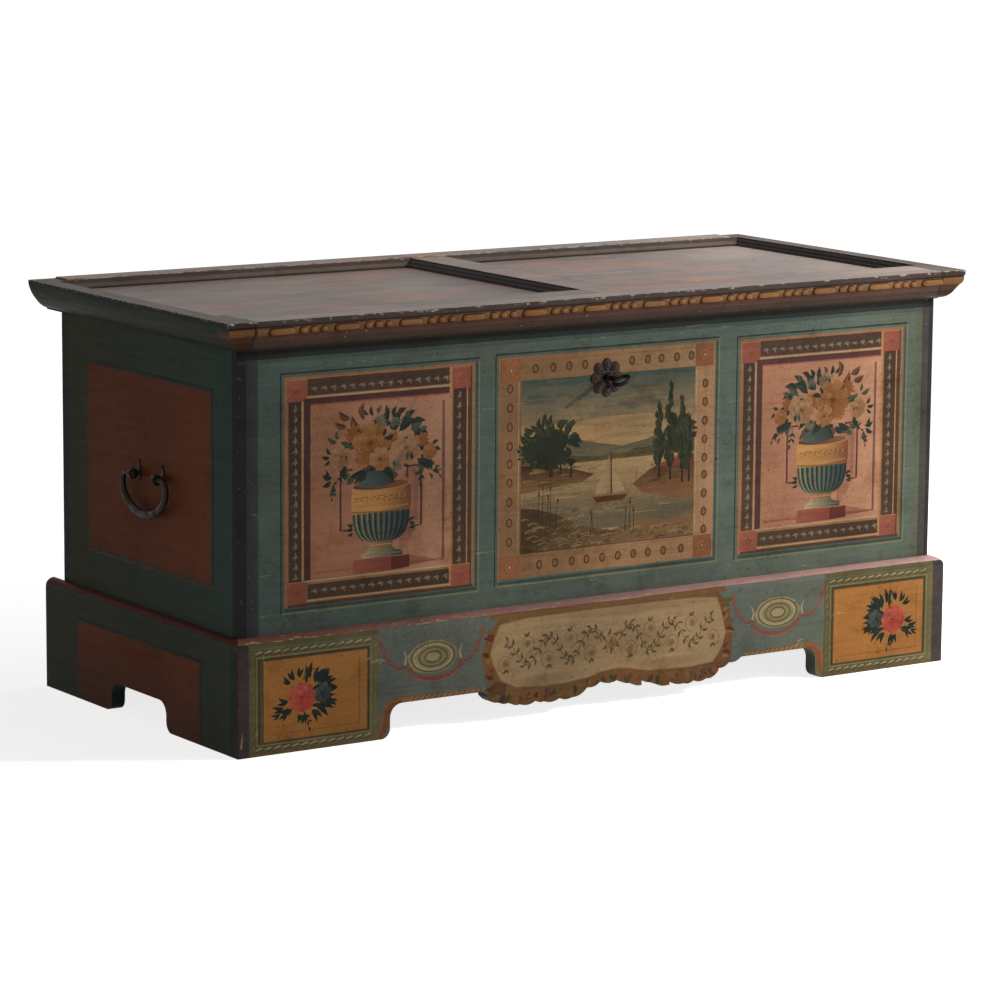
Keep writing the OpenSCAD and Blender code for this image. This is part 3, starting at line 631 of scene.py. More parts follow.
class Surface(Graph):
    """A material that is being built. Its place is the point on the object, in metres."""

    def __init__(self, name):
        self.mat = bpy.data.materials.new(name)
        g, out = cleared(self.mat, "ShaderNodeOutputMaterial")
        super().__init__(g.tree)
        self.shader = self.put("ShaderNodeBsdfPrincipled")
        self.result(out, Surface=self.shader.outputs[0])
        self.place = self.put("ShaderNodeTexCoord").outputs["Object"]

    def use(self, group, **values):
        """Adds a node group at the material's place and returns its outputs."""
        return self.put("ShaderNodeGroup", {"Place": self.place, **values}, node_tree=group).outputs

    def axis(self, number):
        return self.put("ShaderNodeSeparateXYZ", {0: self.place}).outputs[number]

    def near_edge(self, low, high, width):
        return self.use(EDGE_WEAR, Low=low, High=high, Width=width)[0]

    def wood(self, run, pale, dark, **look):
        """Bare wood whose grain runs along one axis."""
        return self.use(WOOD, Stretch=grain(run, 0.06, 1), Fine=grain(run, 6, 220), Pale=pale, Dark=dark,
                        **look)

    def worn(self, colour, box, width, edge, depth, gloss=0.03, **look):
        """Finishes it as brushed paint that is rubbed along the edges of a box."""
        wear = self.near_edge(*box, width)
        look = self.use(BRUSHED, Paint=colour, **look, Edge=self.times(wear, edge))
        return self.finish(look, depth, gloss)

    def finish(self, look, depth, gloss=0.03, metallic=None):
        """Wires in a look (colour, roughness, height); depth is the bump's depth in metres."""
        self.result(self.shader, **{"Base Color": look["Colour"], "Roughness": look["Roughness"]})
        if metallic is not None:
            self.result(self.shader, Metallic=metallic)
        bump = self.put("ShaderNodeBump", {"Height": look["Height"], "Strength": 0.6, "Distance": depth})
        self.result(self.shader, Normal=bump.outputs[0])
        self.shader.inputs["Specular IOR Level"].default_value = gloss
        return self.mat


def grain(axis, along, across):
    """Scales for a pattern that runs along one axis."""
    return tuple(along if i == axis else across for i in range(3))


# The scales of brush strokes along x and along y
GRAIN_X = grain(0, 9, 160)
GRAIN_Y = grain(1, 9, 160)


def painted_sheet(name, along, chips, cracks=0.6):
    """The paint of a decorated face; its colours are in the mesh."""
    g = Surface(name)
    paint = g.put("ShaderNodeAttribute", attribute_name="paint").outputs["Color"]
    look = g.use(BRUSHED, Paint=paint, Along=along, Streaks=0.45, Cracks=cracks, Chips=chips)
    return g.finish(look, 0.00025)


def plain_paint(name, colour, chips, ground=AGED_CREAM):
    """One paint on a piece."""
    g = Surface(name)
    look = g.use(BRUSHED, Paint=colour, Ground=ground, Along=GRAIN_X, Cracks=0.4, Chips=chips)
    return g.finish(look, 0.00025)


def bare_wood(name, run, pale, dark, dirt):
    """Bare wood whose grain runs along the axis with that number."""
    g = Surface(name)
    look = g.wood(run, pale, dark, Dirt=dirt)
    return g.finish(look, 0.0004)


def iron(name, skin, rust, rusty):
    g = Surface(name)
    look = g.use(IRON, Skin=skin, Rust=rust, Rusty=rusty)
    return g.finish(look, 0.0006, 0.2, look["Metallic"])


def dress(material, *names):
    """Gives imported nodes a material."""
    for name in names:
        obj = nodes[name]
        if not obj.material_slots:
            obj.data.materials.append(material)
        for slot in obj.material_slots:
            slot.material = material


def node_box(*names):
    """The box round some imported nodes, in metres."""
    lows, highs = zip(*(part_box(name) for name in names))
    return (tuple(min(v[i] for v in lows) for i in range(3)),
            tuple(max(v[i] for v in highs) for i in range(3)))


def two_looks(g, share, a, b):
    """A look that goes from a to b by a share."""
    look = {"Colour": g.blend(share, a["Colour"], b["Colour"])}
    for label in ("Roughness", "Height"):
        look[label] = g.put("ShaderNodeMix", {0: share, 2: a[label], 3: b[label]}).outputs[0]
    return look


def half_painted(name, colour, axis, side, level):
    """Paint on the outer face of a board and bare wood on the rest. The face is beyond level on axis."""
    run = 1 - axis
    g = Surface(name)
    outer = g.above(g.times(g.axis(axis), side), level)
    paint = g.use(BRUSHED, Paint=colour, Along=grain(run, 9, 160))
    wood = g.wood(run, (0.34, 0.215, 0.115), (0.17, 0.09, 0.045))
    return g.finish(two_looks(g, outer, wood, paint), 0.0003)


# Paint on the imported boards; the last number is where the painted face begins, in metres from the middle
dress(half_painted("front_paint_teal", TEAL, 1, -1, 0.2513), "front_board")
dress(half_painted("end_paint_left", GREEN, 0, -1, 0.6247), "left_end")
dress(half_painted("end_paint_right", GREEN, 0, 1, 0.6247), "right_end")
dress(bare_wood("back_wood_weathered", 0, (0.25, 0.165, 0.098), (0.115, 0.068, 0.040), 0.6),
      "back_board", "base_back")
dress(bare_wood("inner_wood_long", 0, (0.40, 0.26, 0.14), (0.21, 0.115, 0.055), 0.35),
      "bottom_boards", "base_ledgers")
dress(bare_wood("inner_wood_blocks", 2, (0.36, 0.235, 0.125), (0.19, 0.10, 0.05), 0.5), "base_blocks")


def two_tone(name, upper, lower, level, along, ground, edge=0.7, fields=(), far=None):
    """A base board: one paint on its rounded top, another below, with the top's edge rubbed."""
    g = Surface(name)
    z = g.axis(2)
    wave = g.remap(g.noise(g.place, 9.0), 0.3, 0.7, -0.0008, 0.0008)
    top = g.above(g.plus(z, wave), level)
    x = g.axis(0)
    if far:
        upper = g.blend(g.remap(x, -0.55, 0.6), upper, far)
    for reach, colour in fields:
        share = g.below(g.size(g.plus(x, 0.0015)), reach)
        lower = g.blend(share, lower, colour)
    paint = g.blend(top, lower, upper)
    rub = g.remap(z, level + 0.0005, level + 0.0055, 0.75, 0.25)
    rub = g.times(rub, top)
    rub = g.most(rub, g.near_edge(*BASE_BOX, 0.005))
    look = g.use(BRUSHED, Paint=paint, Ground=ground, Along=along, Edge=g.times(rub, edge))
    return g.finish(look, 0.0003)


BASE_BOX = node_box("base_front", "base_left", "base_right")
# The paint of the front's rounded edge at its two ends, the ends' one, and the front's fields by half width
STRIP_PINK = (0.210, 0.088, 0.066)
STRIP_FAR = (0.520, 0.320, 0.320)
STRIP_RED = (0.140, 0.044, 0.032)
FRONT_FIELDS = [(0.6195, OLIVE), (0.4055, (0.130, 0.146, 0.124)), (0.2140, (0.175, 0.092, 0.038))]
dress(two_tone("base_front_paint_old", STRIP_PINK, SLATE, 0.1617, GRAIN_X, CREAM,
               fields=FRONT_FIELDS, far=STRIP_FAR), "base_front")
dress(two_tone("base_side_paint_old", STRIP_RED, GREEN, 0.1590, GRAIN_Y, TAN, 0.5), "base_left", "base_right")

# The lid
LID_GREY = (0.300, 0.232, 0.205)
LID_WARM = (0.360, 0.200, 0.150)
LID_DARK = (0.165, 0.126, 0.110)
LID_GROUND = (0.50, 0.42, 0.34)
# Heights on the lid, in metres: the boards' painted face, and the face that the raised members share
BOARD_FACE = 0.6078
MEMBER_FACE = 0.6195


def lid_colour(g, streaks):
    """Grey-brown paint with pink, green and ochre remains, with painted shade toward the left and beside the
    middle member, and a painted highlight toward the right.
    """
    long = g.noise(g.stretched(g.place, streaks), 1.0, detail=6.0, rough=0.68)
    wide = g.noise(g.stretched(g.place, (3.4, 6.0, 5.0)), 1.0, detail=4.0, rough=0.6)
    colour = g.blend(g.remap(long, 0.33, 0.64), LID_DARK, LID_GREY)
    colour = g.blend(g.remap(wide, 0.46, 0.60, 0.0, 0.85), colour, LID_WARM)
    moss = g.noise(g.stretched(g.place, (4.5, 9.0, 5.0)), 1.0, detail=4.0, rough=0.6, warp=0.6)
    colour = g.blend(g.remap(moss, 0.53, 0.64, 0.0, 0.6), colour, (0.165, 0.170, 0.135))
    glow = g.noise(g.stretched(g.place, (6.5, 24.0, 8.0)), 1.0, detail=3.0)
    colour = g.blend(g.remap(glow, 0.62, 0.72, 0.0, 0.85), colour, (0.50, 0.27, 0.13))
    x = g.axis(0)
    # Painted shadow of the middle member on the left field, and painted shade that grows toward the left
    grime_and_painted_shade = g.times(g.remap(x, -0.17, -0.03, 0.0, 0.6), g.below(x, -0.008))
    grime_and_painted_shade = g.most(grime_and_painted_shade, g.remap(x, 0.15, -0.60, 0.0, 0.38))
    colour = g.blend(grime_and_painted_shade, colour, (0.075, 0.052, 0.044))
    # Painted highlight: paler toward the right
    return g.blend(g.remap(x, 0.30, 0.62, 0.0, 0.5), colour, (0.520, 0.430, 0.385))


def worn_top(name, box):
    """The raised members of the lid: worn paint, rubbed to the wood along their edges."""
    g = Surface(name)
    # lid_colour holds painted shade toward the left and by the middle member, and a painted highlight toward
    # the right
    colour = lid_colour(g, (3.0, 26.0, 8.0))
    y = g.axis(1)
    wander = g.remap(g.noise(g.stretched(g.place, (5.0, 30.0, 8.0)), 1.0), 0.3, 0.7, -0.010, 0.010)
    strip = g.remap(g.plus(y, wander), -0.250, -0.268, 0.0, 0.80)
    colour = g.blend(strip, colour, (0.078, 0.052, 0.045))
    return g.worn(colour, box, 0.004, 0.8, 0.0004, 0.10, Ground=LID_GROUND, Along=GRAIN_X, Streaks=0.7,
                  Chips=0.75)


LID_BOX = node_box("lid_cleat_left", "lid_cleat_right", "lid_front_moulding")
dress(worn_top("lid_top_worn", LID_BOX), "lid_front_member", "lid_middle_member")
dress(worn_top("lid_back_worn", node_box("lid_back_member")), "lid_back_member")


def worn_boards(name):
    """The lid's boards: worn paint above and bare wood below."""
    g = Surface(name)
    upper = g.above(g.axis(2), BOARD_FACE)
    # lid_colour holds painted shade toward the left and by the middle member, and a painted highlight toward
    # the right
    colour = lid_colour(g, (4.0, 19.0, 8.0))
    paint = g.use(BRUSHED, Paint=colour, Ground=LID_GROUND, Along=GRAIN_X, Streaks=0.6, Chips=0.5)
    wood = g.use(WOOD, Pale=(0.38, 0.245, 0.135), Dark=(0.20, 0.11, 0.055))
    return g.finish(two_looks(g, upper, wood, paint), 0.0004, 0.10)


dress(worn_boards("lid_boards_worn"), "lid_boards")


def strip_paint(name):
    """The moulded strips of the fields: dark, and banded by height along the back, with a paler band that is
    partly rubbed paint and partly painted highlight.
    """
    g = Surface(name)
    split = g.put("ShaderNodeSeparateXYZ", {0: g.place}).outputs
    # Along the back: a paler middle band, partly rubbed paint and partly a painted highlight on the moulding,
    # between darker bands
    back = g.blend(g.remap(split[2], 0.6098, 0.6112), (0.045, 0.034, 0.030), (0.150, 0.118, 0.100))
    back = g.blend(g.remap(split[2], 0.6150, 0.6156), back, (0.085, 0.064, 0.055))
    colour = g.blend(g.remap(split[1], 0.2462, 0.2480), (0.062, 0.048, 0.043), back)
    return g.worn(colour, node_box(*STRIPS), 0.003, 0.7, 0.0003, Ground=(0.34, 0.27, 0.22), Along=GRAIN_X,
                  Streaks=0.6, Chips=0.6)


STRIPS = ("field_strips_left", "field_strips_right")
dress(strip_paint("lid_strip_dark"), *STRIPS)


def cleat_paint(name):
    """The lid's side pieces: worn grey on top, dark green on the moulded side, bands in front."""
    g = Surface(name)
    split = g.put("ShaderNodeSeparateXYZ", {0: g.place}).outputs
    top = g.above(split[2], MEMBER_FACE)
    front = g.below(split[1], -0.2525)
    side = g.above(g.size(split[0]), 0.6285)
    inner = g.below(g.size(split[0]), 0.6575)
    band = band_colour(g, split[2])
    long = g.noise(g.stretched(g.place, (26.0, 3.0, 8.0)), 1.0, detail=5.0, rough=0.6)
    grey = g.blend(g.remap(long, 0.35, 0.62), (0.066, 0.054, 0.048), (0.140, 0.115, 0.103))
    colour = g.blend(side, (0.026, 0.025, 0.011), (0.034, 0.042, 0.028))
    colour = g.blend(g.times(front, inner), colour, band)
    joint = g.below(g.size(split[0]), 0.6163)
    crack = g.below(split[1], -0.2560)
    colour = g.blend(g.times(joint, crack), colour, INK)
    colour = g.blend(top, colour, grey)
    return g.worn(colour, LID_BOX, 0.005, 0.75, 0.0003, Ground=(0.50, 0.40, 0.30), Along=GRAIN_Y, Chips=0.4)


# Levels of the bands on the lid's front edge, from its bottom up, and their paints
BAND_LEVELS = [0.5765, 0.5895, 0.5978, 0.6096, 0.6128]
# The lowest paint, near black, is partly the edge's own dark paint and partly painted shadow along the lid's
# lower edge
BAND_PAINTS = [(0.026, 0.017, 0.012), (0.050, 0.030, 0.019), (0.088, 0.040, 0.028), (0.190, 0.090, 0.036),
               (0.040, 0.023, 0.019), (0.054, 0.038, 0.034)]


def band_colour(g, z):
    """The bands of the lid's front edge, each from its level up."""
    level = g.plus(z, g.remap(g.noise(g.place, 14.0), 0.3, 0.7, -0.0006, 0.0006))
    colour = BAND_PAINTS[0]
    for paint, start in zip(BAND_PAINTS[1:], BAND_LEVELS):
        colour = g.blend(g.above(level, start), colour, paint)
    return colour


def edge_paint(name):
    """The lid's front edge: its bands, the grey of the top, and a dark joint at each end."""
    g = Surface(name)
    z = g.axis(2)
    colour = band_colour(g, z)
    colour = g.blend(g.above(z, MEMBER_FACE + 0.0001), colour, LID_GREY)
    colour = g.blend(g.above(g.size(g.axis(0)), 0.6108), colour, INK)
    rub = g.remap(z, 0.6125, 0.6190, 0.2, 1.0)
    look = g.use(BRUSHED, Paint=colour, Ground=(0.42, 0.34, 0.28), Along=GRAIN_X, Streaks=0.6, Chips=0.35,
                 Edge=g.times(rub, 0.50))
    return g.finish(look, 0.0003, 0.10)


dress(edge_paint("lid_edge_bands"), "lid_front_moulding")
dress(cleat_paint("lid_end_green"), "lid_cleat_left", "lid_cleat_right")

# Iron
rosette_iron = iron("rosette_iron_brown", (0.027, 0.018, 0.016), (0.062, 0.032, 0.027), 0.3)
dress(rosette_iron, "rosette_nails")
dress(iron("lock_iron_dark", (0.065, 0.056, 0.050), (0.085, 0.050, 0.034), 0.4),
      "lock_case", "lock_rivets", "lock_bolt", "lid_staple", "staple_nails")
dress(iron("key_iron_dark", (0.013, 0.010, 0.010), (0.028, 0.015, 0.011), 0.2), "key")
dress(iron("hinge_iron_dark", (0.050, 0.042, 0.038), (0.072, 0.042, 0.029), 0.4),
      "hinge_leaf_left", "hinge_leaf_right", "hinge_pin_left", "hinge_pin_right", "leaf_nails",
      "hinge_strap_left", "hinge_strap_right", "strap_nails")
handle_iron = iron("handle_iron_dark", (0.022, 0.017, 0.016), (0.044, 0.022, 0.015), 0.4)
dress(handle_iron, "handle_plates_left", "handle_plates_right", "handle_eyes_left", "handle_eyes_right")


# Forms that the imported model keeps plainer

def new_piece(name, bm, material, smooth=True):
    bmesh.ops.recalc_face_normals(bm, faces=bm.faces)
    data = bpy.data.meshes.new(name)
    bm.to_mesh(data)
    bm.free()
    for poly in data.polygons:
        poly.use_smooth = smooth
    data.materials.append(material)
    return add_object(name, data)


def skin(bm, rings):
    """Faces from each ring of vertices to the next."""
    for a, b in zip(rings, rings[1:]):
        for j in range(len(a)):
            k = (j + 1) % len(a)
            bm.faces.new((a[j], a[k], b[k], b[j]))


def tube(path, radii, around=16):
    """A round bar along a path, with a radius at each of its points and closed ends."""
    bm = bmesh.new()
    rings = []
    side = None
    for i, p in enumerate(path):
        ahead = (path[min(i + 1, len(path) - 1)] - path[max(i - 1, 0)]).normalized()
        side = ahead.orthogonal() if side is None else side
        side = (side - ahead * side.dot(ahead)).normalized()
        other = ahead.cross(side)
        turns = [2 * math.pi * j / around for j in range(around)]
        rings.append([bm.verts.new(p + (side * math.cos(a) + other * math.sin(a)) * radii[i]) for a in turns])
    skin(bm, rings)
    bm.faces.new(rings[0])
    bm.faces.new(rings[-1])
    return bm


HANDLE_X = 637.0
HANDLE_Y = -4.5
HANDLE_Z = 365.0
BAIL_PIN = 28.0
BAIL_HALF = 64.0
BAIL_SHOULDER = 14.0
BAIL_CORNER = 28.0
BAIL_LIFT = 39.29
BAIL_SWEEP = math.radians(47.5)
BAIL_BOTTOM = 81.28


def bail(side):
    """The forged bail, swelling from its pins to the middle of its grip."""
    half = [(BAIL_PIN + (BAIL_HALF - BAIL_SHOULDER - BAIL_PIN) * i / 6, 0) for i in range(6)]
    for i in range(9):
        a = math.pi / 2 * (1 - i / 8)
        half.append((BAIL_HALF - BAIL_SHOULDER * (1 - math.cos(a)), -BAIL_SHOULDER * (1 - math.sin(a))))
    for i in range(1, 9):
        a = -BAIL_SWEEP * i / 8
        half.append((BAIL_HALF - BAIL_CORNER * (1 - math.cos(a)), -BAIL_SHOULDER + BAIL_CORNER * math.sin(a)))
    for i in range(1, 15):
        a = -BAIL_SWEEP - (math.pi / 2 - BAIL_SWEEP) * i / 14
        half.append((BAIL_BOTTOM * math.cos(a), BAIL_LIFT - BAIL_SHOULDER + BAIL_BOTTOM * math.sin(a)))
    flat = half + [(-y, z) for y, z in half[-2::-1]]
    path = [Vector((side * HANDLE_X, HANDLE_Y + y, HANDLE_Z + z)) * MM for y, z in flat]
    last = len(half) - 1
    radii = []
    for i in range(len(flat)):
        inward = i if i <= last else 2 * last - i
        grow = min(1.0, max(0.0, (inward - 8) / (last - 8)))
        knob = 1.2 if inward < 2 else 0.0
        radii.append((3.4 + knob + 2.8 * grow ** 0.7) * MM)
    return tube(path, radii)


def rosette():
    """An embossed flower of eight domed petals with raised rims round the keyhole."""
    rows = 22
    columns = 160
    petals = 8
    petal_share = 0.3
    hole = 5.0
    slot = 2.75
    slot_drop = 16.0
    middle = ROSETTE_R * (1 - petal_share)
    bm = bmesh.new()
    rings = []
    for i in range(rows + 2):
        ring = []
        for j in range(columns):
            a = 2 * math.pi * (j + 0.5) / columns
            c = math.cos(a)
            d = math.sin(a)
            off = (a * petals / (2 * math.pi) + 0.5) % 1.0 - 0.5
            off *= 2 * math.pi / petals
            side = middle * math.sin(off)
            outer = middle * math.cos(off) + math.sqrt(max(0.0, (petal_share * ROSETTE_R) ** 2 - side ** 2))
            inner = hole
            if d < 0:
                inner = max(hole, min(slot / max(abs(c), 1e-6), slot_drop / abs(d)))
            t = min(1.0, max(0.0, (i - 1) / (rows - 1)))
            r = inner + (outer - inner) * t
            q = math.hypot((r * math.cos(off) - 0.68 * ROSETTE_R) / 0.31,
                           r * math.sin(off) / 0.235) / ROSETTE_R
            height = 0.7 + 3.9 * max(0.0, 1 - q ** 4) ** 0.55
            height -= 2.0 * math.exp(-((q - 0.62) / 0.14) ** 2)
            height += 1.9 * math.exp(-((r - 0.31 * ROSETTE_R) / 1.3) ** 2)
            if i == 0 or i == rows + 1:
                height = 0.0
            ring.append(bm.verts.new(((LOCK_X + r * c) * MM, (FRONT_Y - height) * MM, (LOCK_Z + r * d) * MM)))
        rings.append(ring)
    skin(bm, rings + rings[:1])
    return bm


def make_bead_run():
    """Rounded pads along X in runs, with a small seeded difference in size."""
    g, gin, gout = new_group("bead_run", [
        ("Start", VECTOR, (0, 0, 0)), ("Runs", INT, 12), ("Run Pitch", FLOAT, 0.106), ("Beads", INT, 3),
        ("Bead Pitch", FLOAT, 0.017), ("Size", VECTOR, (0.016, 0.009, 0.015)), ("Cuts", INT, 2),
        ("Material", "NodeSocketMaterial", None)], [("Geometry", "NodeSocketGeometry")], "GeometryNodeTree")
    run_step = g.put("ShaderNodeCombineXYZ", {0: gin["Run Pitch"]}).outputs[0]
    bead_step = g.put("ShaderNodeCombineXYZ", {0: gin["Bead Pitch"]}).outputs[0]
    line = {"Count": gin["Runs"], "Start Location": gin["Start"], "Offset": run_step}
    runs = g.put("GeometryNodeMeshLine", line).outputs[0]
    beads = g.put("GeometryNodeMeshLine", {"Count": gin["Beads"], "Offset": bead_step}).outputs[0]
    spots = g.put("GeometryNodeInstanceOnPoints", {"Points": runs, "Instance": beads}).outputs[0]
    spots = g.put("GeometryNodeRealizeInstances", {0: spots}).outputs[0]
    cube = g.put("GeometryNodeMeshCube", {"Size": gin["Size"], "Vertices X": gin["Cuts"]}).outputs[0]
    pad = g.put("GeometryNodeSubdivisionSurface", {"Mesh": cube, "Level": 2}).outputs[0]
    pad = g.put("GeometryNodeSetShadeSmooth", {0: pad}).outputs[0]
    size = g.put("FunctionNodeRandomValue", {2: 0.92, 3: 1.04, "Seed": 7}).outputs[1]
    pads = g.put("GeometryNodeInstanceOnPoints", {"Points": spots, "Instance": pad, "Scale": size})
    solid = g.put("GeometryNodeRealizeInstances", {0: pads.outputs[0]}).outputs[0]
    painted = g.put("GeometryNodeSetMaterial", {"Geometry": solid, "Material": gin["Material"]}).outputs[0]
    g.result(gout, Geometry=painted)
    return g.tree


def run_of_pads(name, tree, settings):
    """The node group's result as a plain mesh."""
    maker = add_object(name + "_maker", bpy.data.meshes.new(name + "_maker"))
    modifier = maker.modifiers.new("pads", "NODES")
    modifier.node_group = tree
    for item in tree.interface.items_tree:
        if item.in_out == "INPUT" and item.name in settings:
            modifier[item.identifier] = settings[item.name]
    bpy.context.view_layer.update()
    graph = bpy.context.evaluated_depsgraph_get()
    data = bpy.data.meshes.new_from_object(maker.evaluated_get(graph))
    obj = add_object(name, data)
    bpy.data.objects.remove(maker)
    return obj


for side, end in ((-1, "left"), (1, "right")):
    piece = new_piece("forged_bail_" + end, bail(side), handle_iron)
    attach(piece, "handle_" + end)
    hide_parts("handle_bail_" + end)

flower = new_piece("rosette_embossed", rosette(), rosette_iron)
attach(flower, "chest")
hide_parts("rosette")

pad_gold = plain_paint("lid_pad_gold", (0.280, 0.134, 0.050), 0.9, (0.12, 0.055, 0.028))
pad_groove = plain_paint("lid_pad_groove", (0.092, 0.040, 0.022), 0.2)
bead_run = make_bead_run()
BAR_START = (-0.572, -0.2846, 0.6036)
BEAD_START = (-0.5375, -0.2846, 0.6036)
PADS = [
    ("lid_edge_bars", pad_gold, BAR_START, 12, 1, (0.0455, 0.0085, 0.0112), 4),
    ("lid_edge_beads", pad_gold, BEAD_START, 11, 3, (0.0175, 0.0085, 0.0112), 2),
    ("lid_edge_bar_grooves", pad_groove, BAR_START, 12, 1, (0.0480, 0.0070, 0.0130), 4),
    ("lid_edge_bead_grooves", pad_groove, BEAD_START, 11, 3, (0.0195, 0.0070, 0.0133), 2),
]
for name, material, start, runs, beads, size, cuts in PADS:
    settings = {"Start": start, "Runs": runs, "Beads": beads, "Size": size, "Cuts": cuts}
    settings["Material"] = material
    piece = run_of_pads(name, bead_run, settings)
    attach(piece, "lid")


# The front's painted decoration

def raised_outline(art, x0, z0, x1, z1):
    """A dark line above and to the left of a frame and a light one below and to the right."""
    art.rules(
        (x0 - 7.5, z0 - 9, x0 - 7.5, z1 + 7.5, 2.2, NIGHT, 0.85),
        (x0 - 7.5, z1 + 7.5, x1 + 8, z1 + 7.5, 2.6, NIGHT, 0.8),
        (x1 + 4, z0 - 2, x1 + 4, z1 + 2, 3.0, TEAL_DARK, 0.8),
        (x0, z0 - 5, x1 + 5, z0 - 5, 4.0, TEAL_DARK, 0.85),
        (x1 + 8, z0 - 9, x1 + 8, z1 + 6, 2.0, OLIVE_LIGHT, 0.75),
        (x0 - 6, z0 - 9.5, x1 + 8, z0 - 9.5, 2.2, OLIVE_LIGHT, 0.8),
        (x0 - 1, z0 - 2, x0 - 1, z1 + 2, 2.2, TAN, 0.9),
        (x0 - 1, z1 + 1, x1 + 1, z1 + 1, 2.4, TAN, 0.9))


def leaf_chain(art, p, q, pitch):
    """A garland of small pale leaves in threes along a line."""
    length = math.dist(p, q)
    count = max(2, int(length / pitch))
    turn = math.atan2(q[1] - p[1], q[0] - p[0])
    c = math.cos(turn)
    d = math.sin(turn)
    for i in range(count):
        t = (i + 0.5) / count
        x = p[0] + t * (q[0] - p[0])
        z = p[1] + t * (q[1] - p[1])
        for side in (-1, 1):
            a = turn + side * 0.75 + art.vary(-0.15, 0.15)
            art.leaf(x - 1.5 * c, z - 1.5 * d, a, 7.5, 2.0, (0.235, 0.190, 0.125), bend=-0.25 * side)
        art.leaf(x - 5 * c, z - 5 * d, turn + art.vary(-0.12, 0.12), art.vary(10.5, 12.5), 3.6,
                 (0.150, 0.120, 0.082), (0.36, 0.29, 0.195))
        art.oval(x + 6.8 * c, z + 6.8 * d, 0.9, 0.9, TAN, count=6, cover=0.7)


def dark_bar(art, x0, z0, x1, z1):
    art.box(x0, z0, x1, z1, BROWN, end=(0.060, 0.036, 0.026), along=((x0, z0), (x1, z1)))


def corner_square(art, x, z, half):
    art.box(x - half, z - half, x + half, z + half, BRICK, end=(0.24, 0.078, 0.052),
            along=((x - half, z + half), (x + half, z - half)))
    art.ring(x, z, 4.8, 4.4, 1.3, BRICK_DARK, count=14, cover=0.65)
    art.ring(x + 0.4, z + 0.5, 5.2, 4.8, 0.9, PINK_LIGHT, span=(0.05, 0.45), cover=0.6)
    art.oval(x, z, 1.4, 1.4, BRICK_DARK, count=8, cover=0.7)
    art.line((x - half, z + half - 0.7), (x + half, z + half - 0.7), 1.3, PINK_LIGHT, cover=0.5)


def urn_panel(art, x0, x1, z0, z1, flip):
    """A frame of dark bars round a pink panel with an urn of flowers."""
    art.box(x0, z0, x1, z1, TAN)
    raised_outline(art, x0, z0, x1, z1)
    for bar in ((x0 + 36, z1 - 26, x1 - 40, z1 - 2.5), (x0 + 36, z0 + 8, x1 - 40, z0 + 29.5),
                (x0 + 5, z0 + 33, x0 + 26, z1 - 33), (x1 - 37, z0 + 33, x1 - 14, z1 - 33)):
        dark_bar(art, *bar)
    art.box(x0 + 4, z0 - 1.5, x1 - 2, z0 + 3.5, BROWN)
    art.box(x1 - 11.5, z0 + 2, x1 - 4.5, z1 - 2, BROWN)
    art.rules(
        (x0 + 36, z0 + 6, x1 - 40, z0 + 6, 1.7, CREAM, 0.75),
        (x0 + 36, z1 - 28.5, x1 - 40, z1 - 28.5, 2.2, CREAM, 0.75),
        (x0 + 28.3, z0 + 34, x0 + 28.3, z1 - 34, 2.0, CREAM, 0.7),
        (x1 - 12.8, z0 + 34, x1 - 12.8, z1 - 34, 1.4, CREAM, 0.6))
    leaf_chain(art, (x0 + 39, z1 - 17.5), (x1 - 42, z1 - 17.5), 15.0)
    leaf_chain(art, (x0 + 39, z0 + 18.5), (x1 - 42, z0 + 18.5), 15.0)
    leaf_chain(art, (x0 + 16, z1 - 35), (x0 + 16, z0 + 35), 14.5)
    leaf_chain(art, (x1 - 26.5, z1 - 35), (x1 - 26.5, z0 + 35), 14.5)
    for x in (x0 + 19, x1 - 23):
        for z in (z0 + 18.5, z1 - 18):
            corner_square(art, x, z, 16)
    left, right, low, high = x0 + 43, x1 - 43, z0 + 34, z1 - 40
    # Both panels' pinks are darkened, the left one more: painted shade where the light falls off toward the
    # left
    painted_falloff_shade = 0.84 if flip > 0 else 0.95
    ground = tuple(c * painted_falloff_shade for c in PINK)
    pale = tuple(c * painted_falloff_shade for c in PINK_LIGHT)
    art.box(x0 + 30.5, low, right, z1 - 30.5, PLUM)
    art.box(left, low, right, high, ground, end=pale, along=((left, 0), (right, 0)), shift=0.01)
    art.rules(
        (left, high, right, high, 2.2, BRICK, 1.0),
        (x0 + 42.3, low, x0 + 42.3, high, 2.4, OCHRE, 0.7),
        (x1 - 53.5, z0 + 43, x1 - 53.5, z1 - 49, 4.5, PLUM, 0.75),
        (left + 5, z0 + 45, x1 - 51, z0 + 45, 3.6, BRICK, 0.85),
        (x1 - 41.5, z0 + 3, x1 - 41.5, z1 - 2, 3.4, OCHRE, 0.85),
        (x0 + 30, z0 + 34, right, z0 + 34, 2.6, CREAM, 0.8))
    for _ in range(60):
        x = art.vary(left + 6, right - 44)
        z = art.vary(low + 16, high - 6)
        reach = art.vary(10, 40)
        art.stroke([(x, z), (x + reach * 0.5, z + art.vary(-2.5, 2.5)), (x + reach, z + art.vary(-3, 3))],
                   art.vary(2.0, 7.0), art.pick((pale, PINK_DARK, TAN)), taper=(0.9, 0.2), cover=0.13)
    urn(art, x0 + 159, low + 3, flip)


URN_PROFILE = [(21, 43.5), (31, 47), (39, 53), (44.5, 62), (47.5, 73), (48.5, 87)]


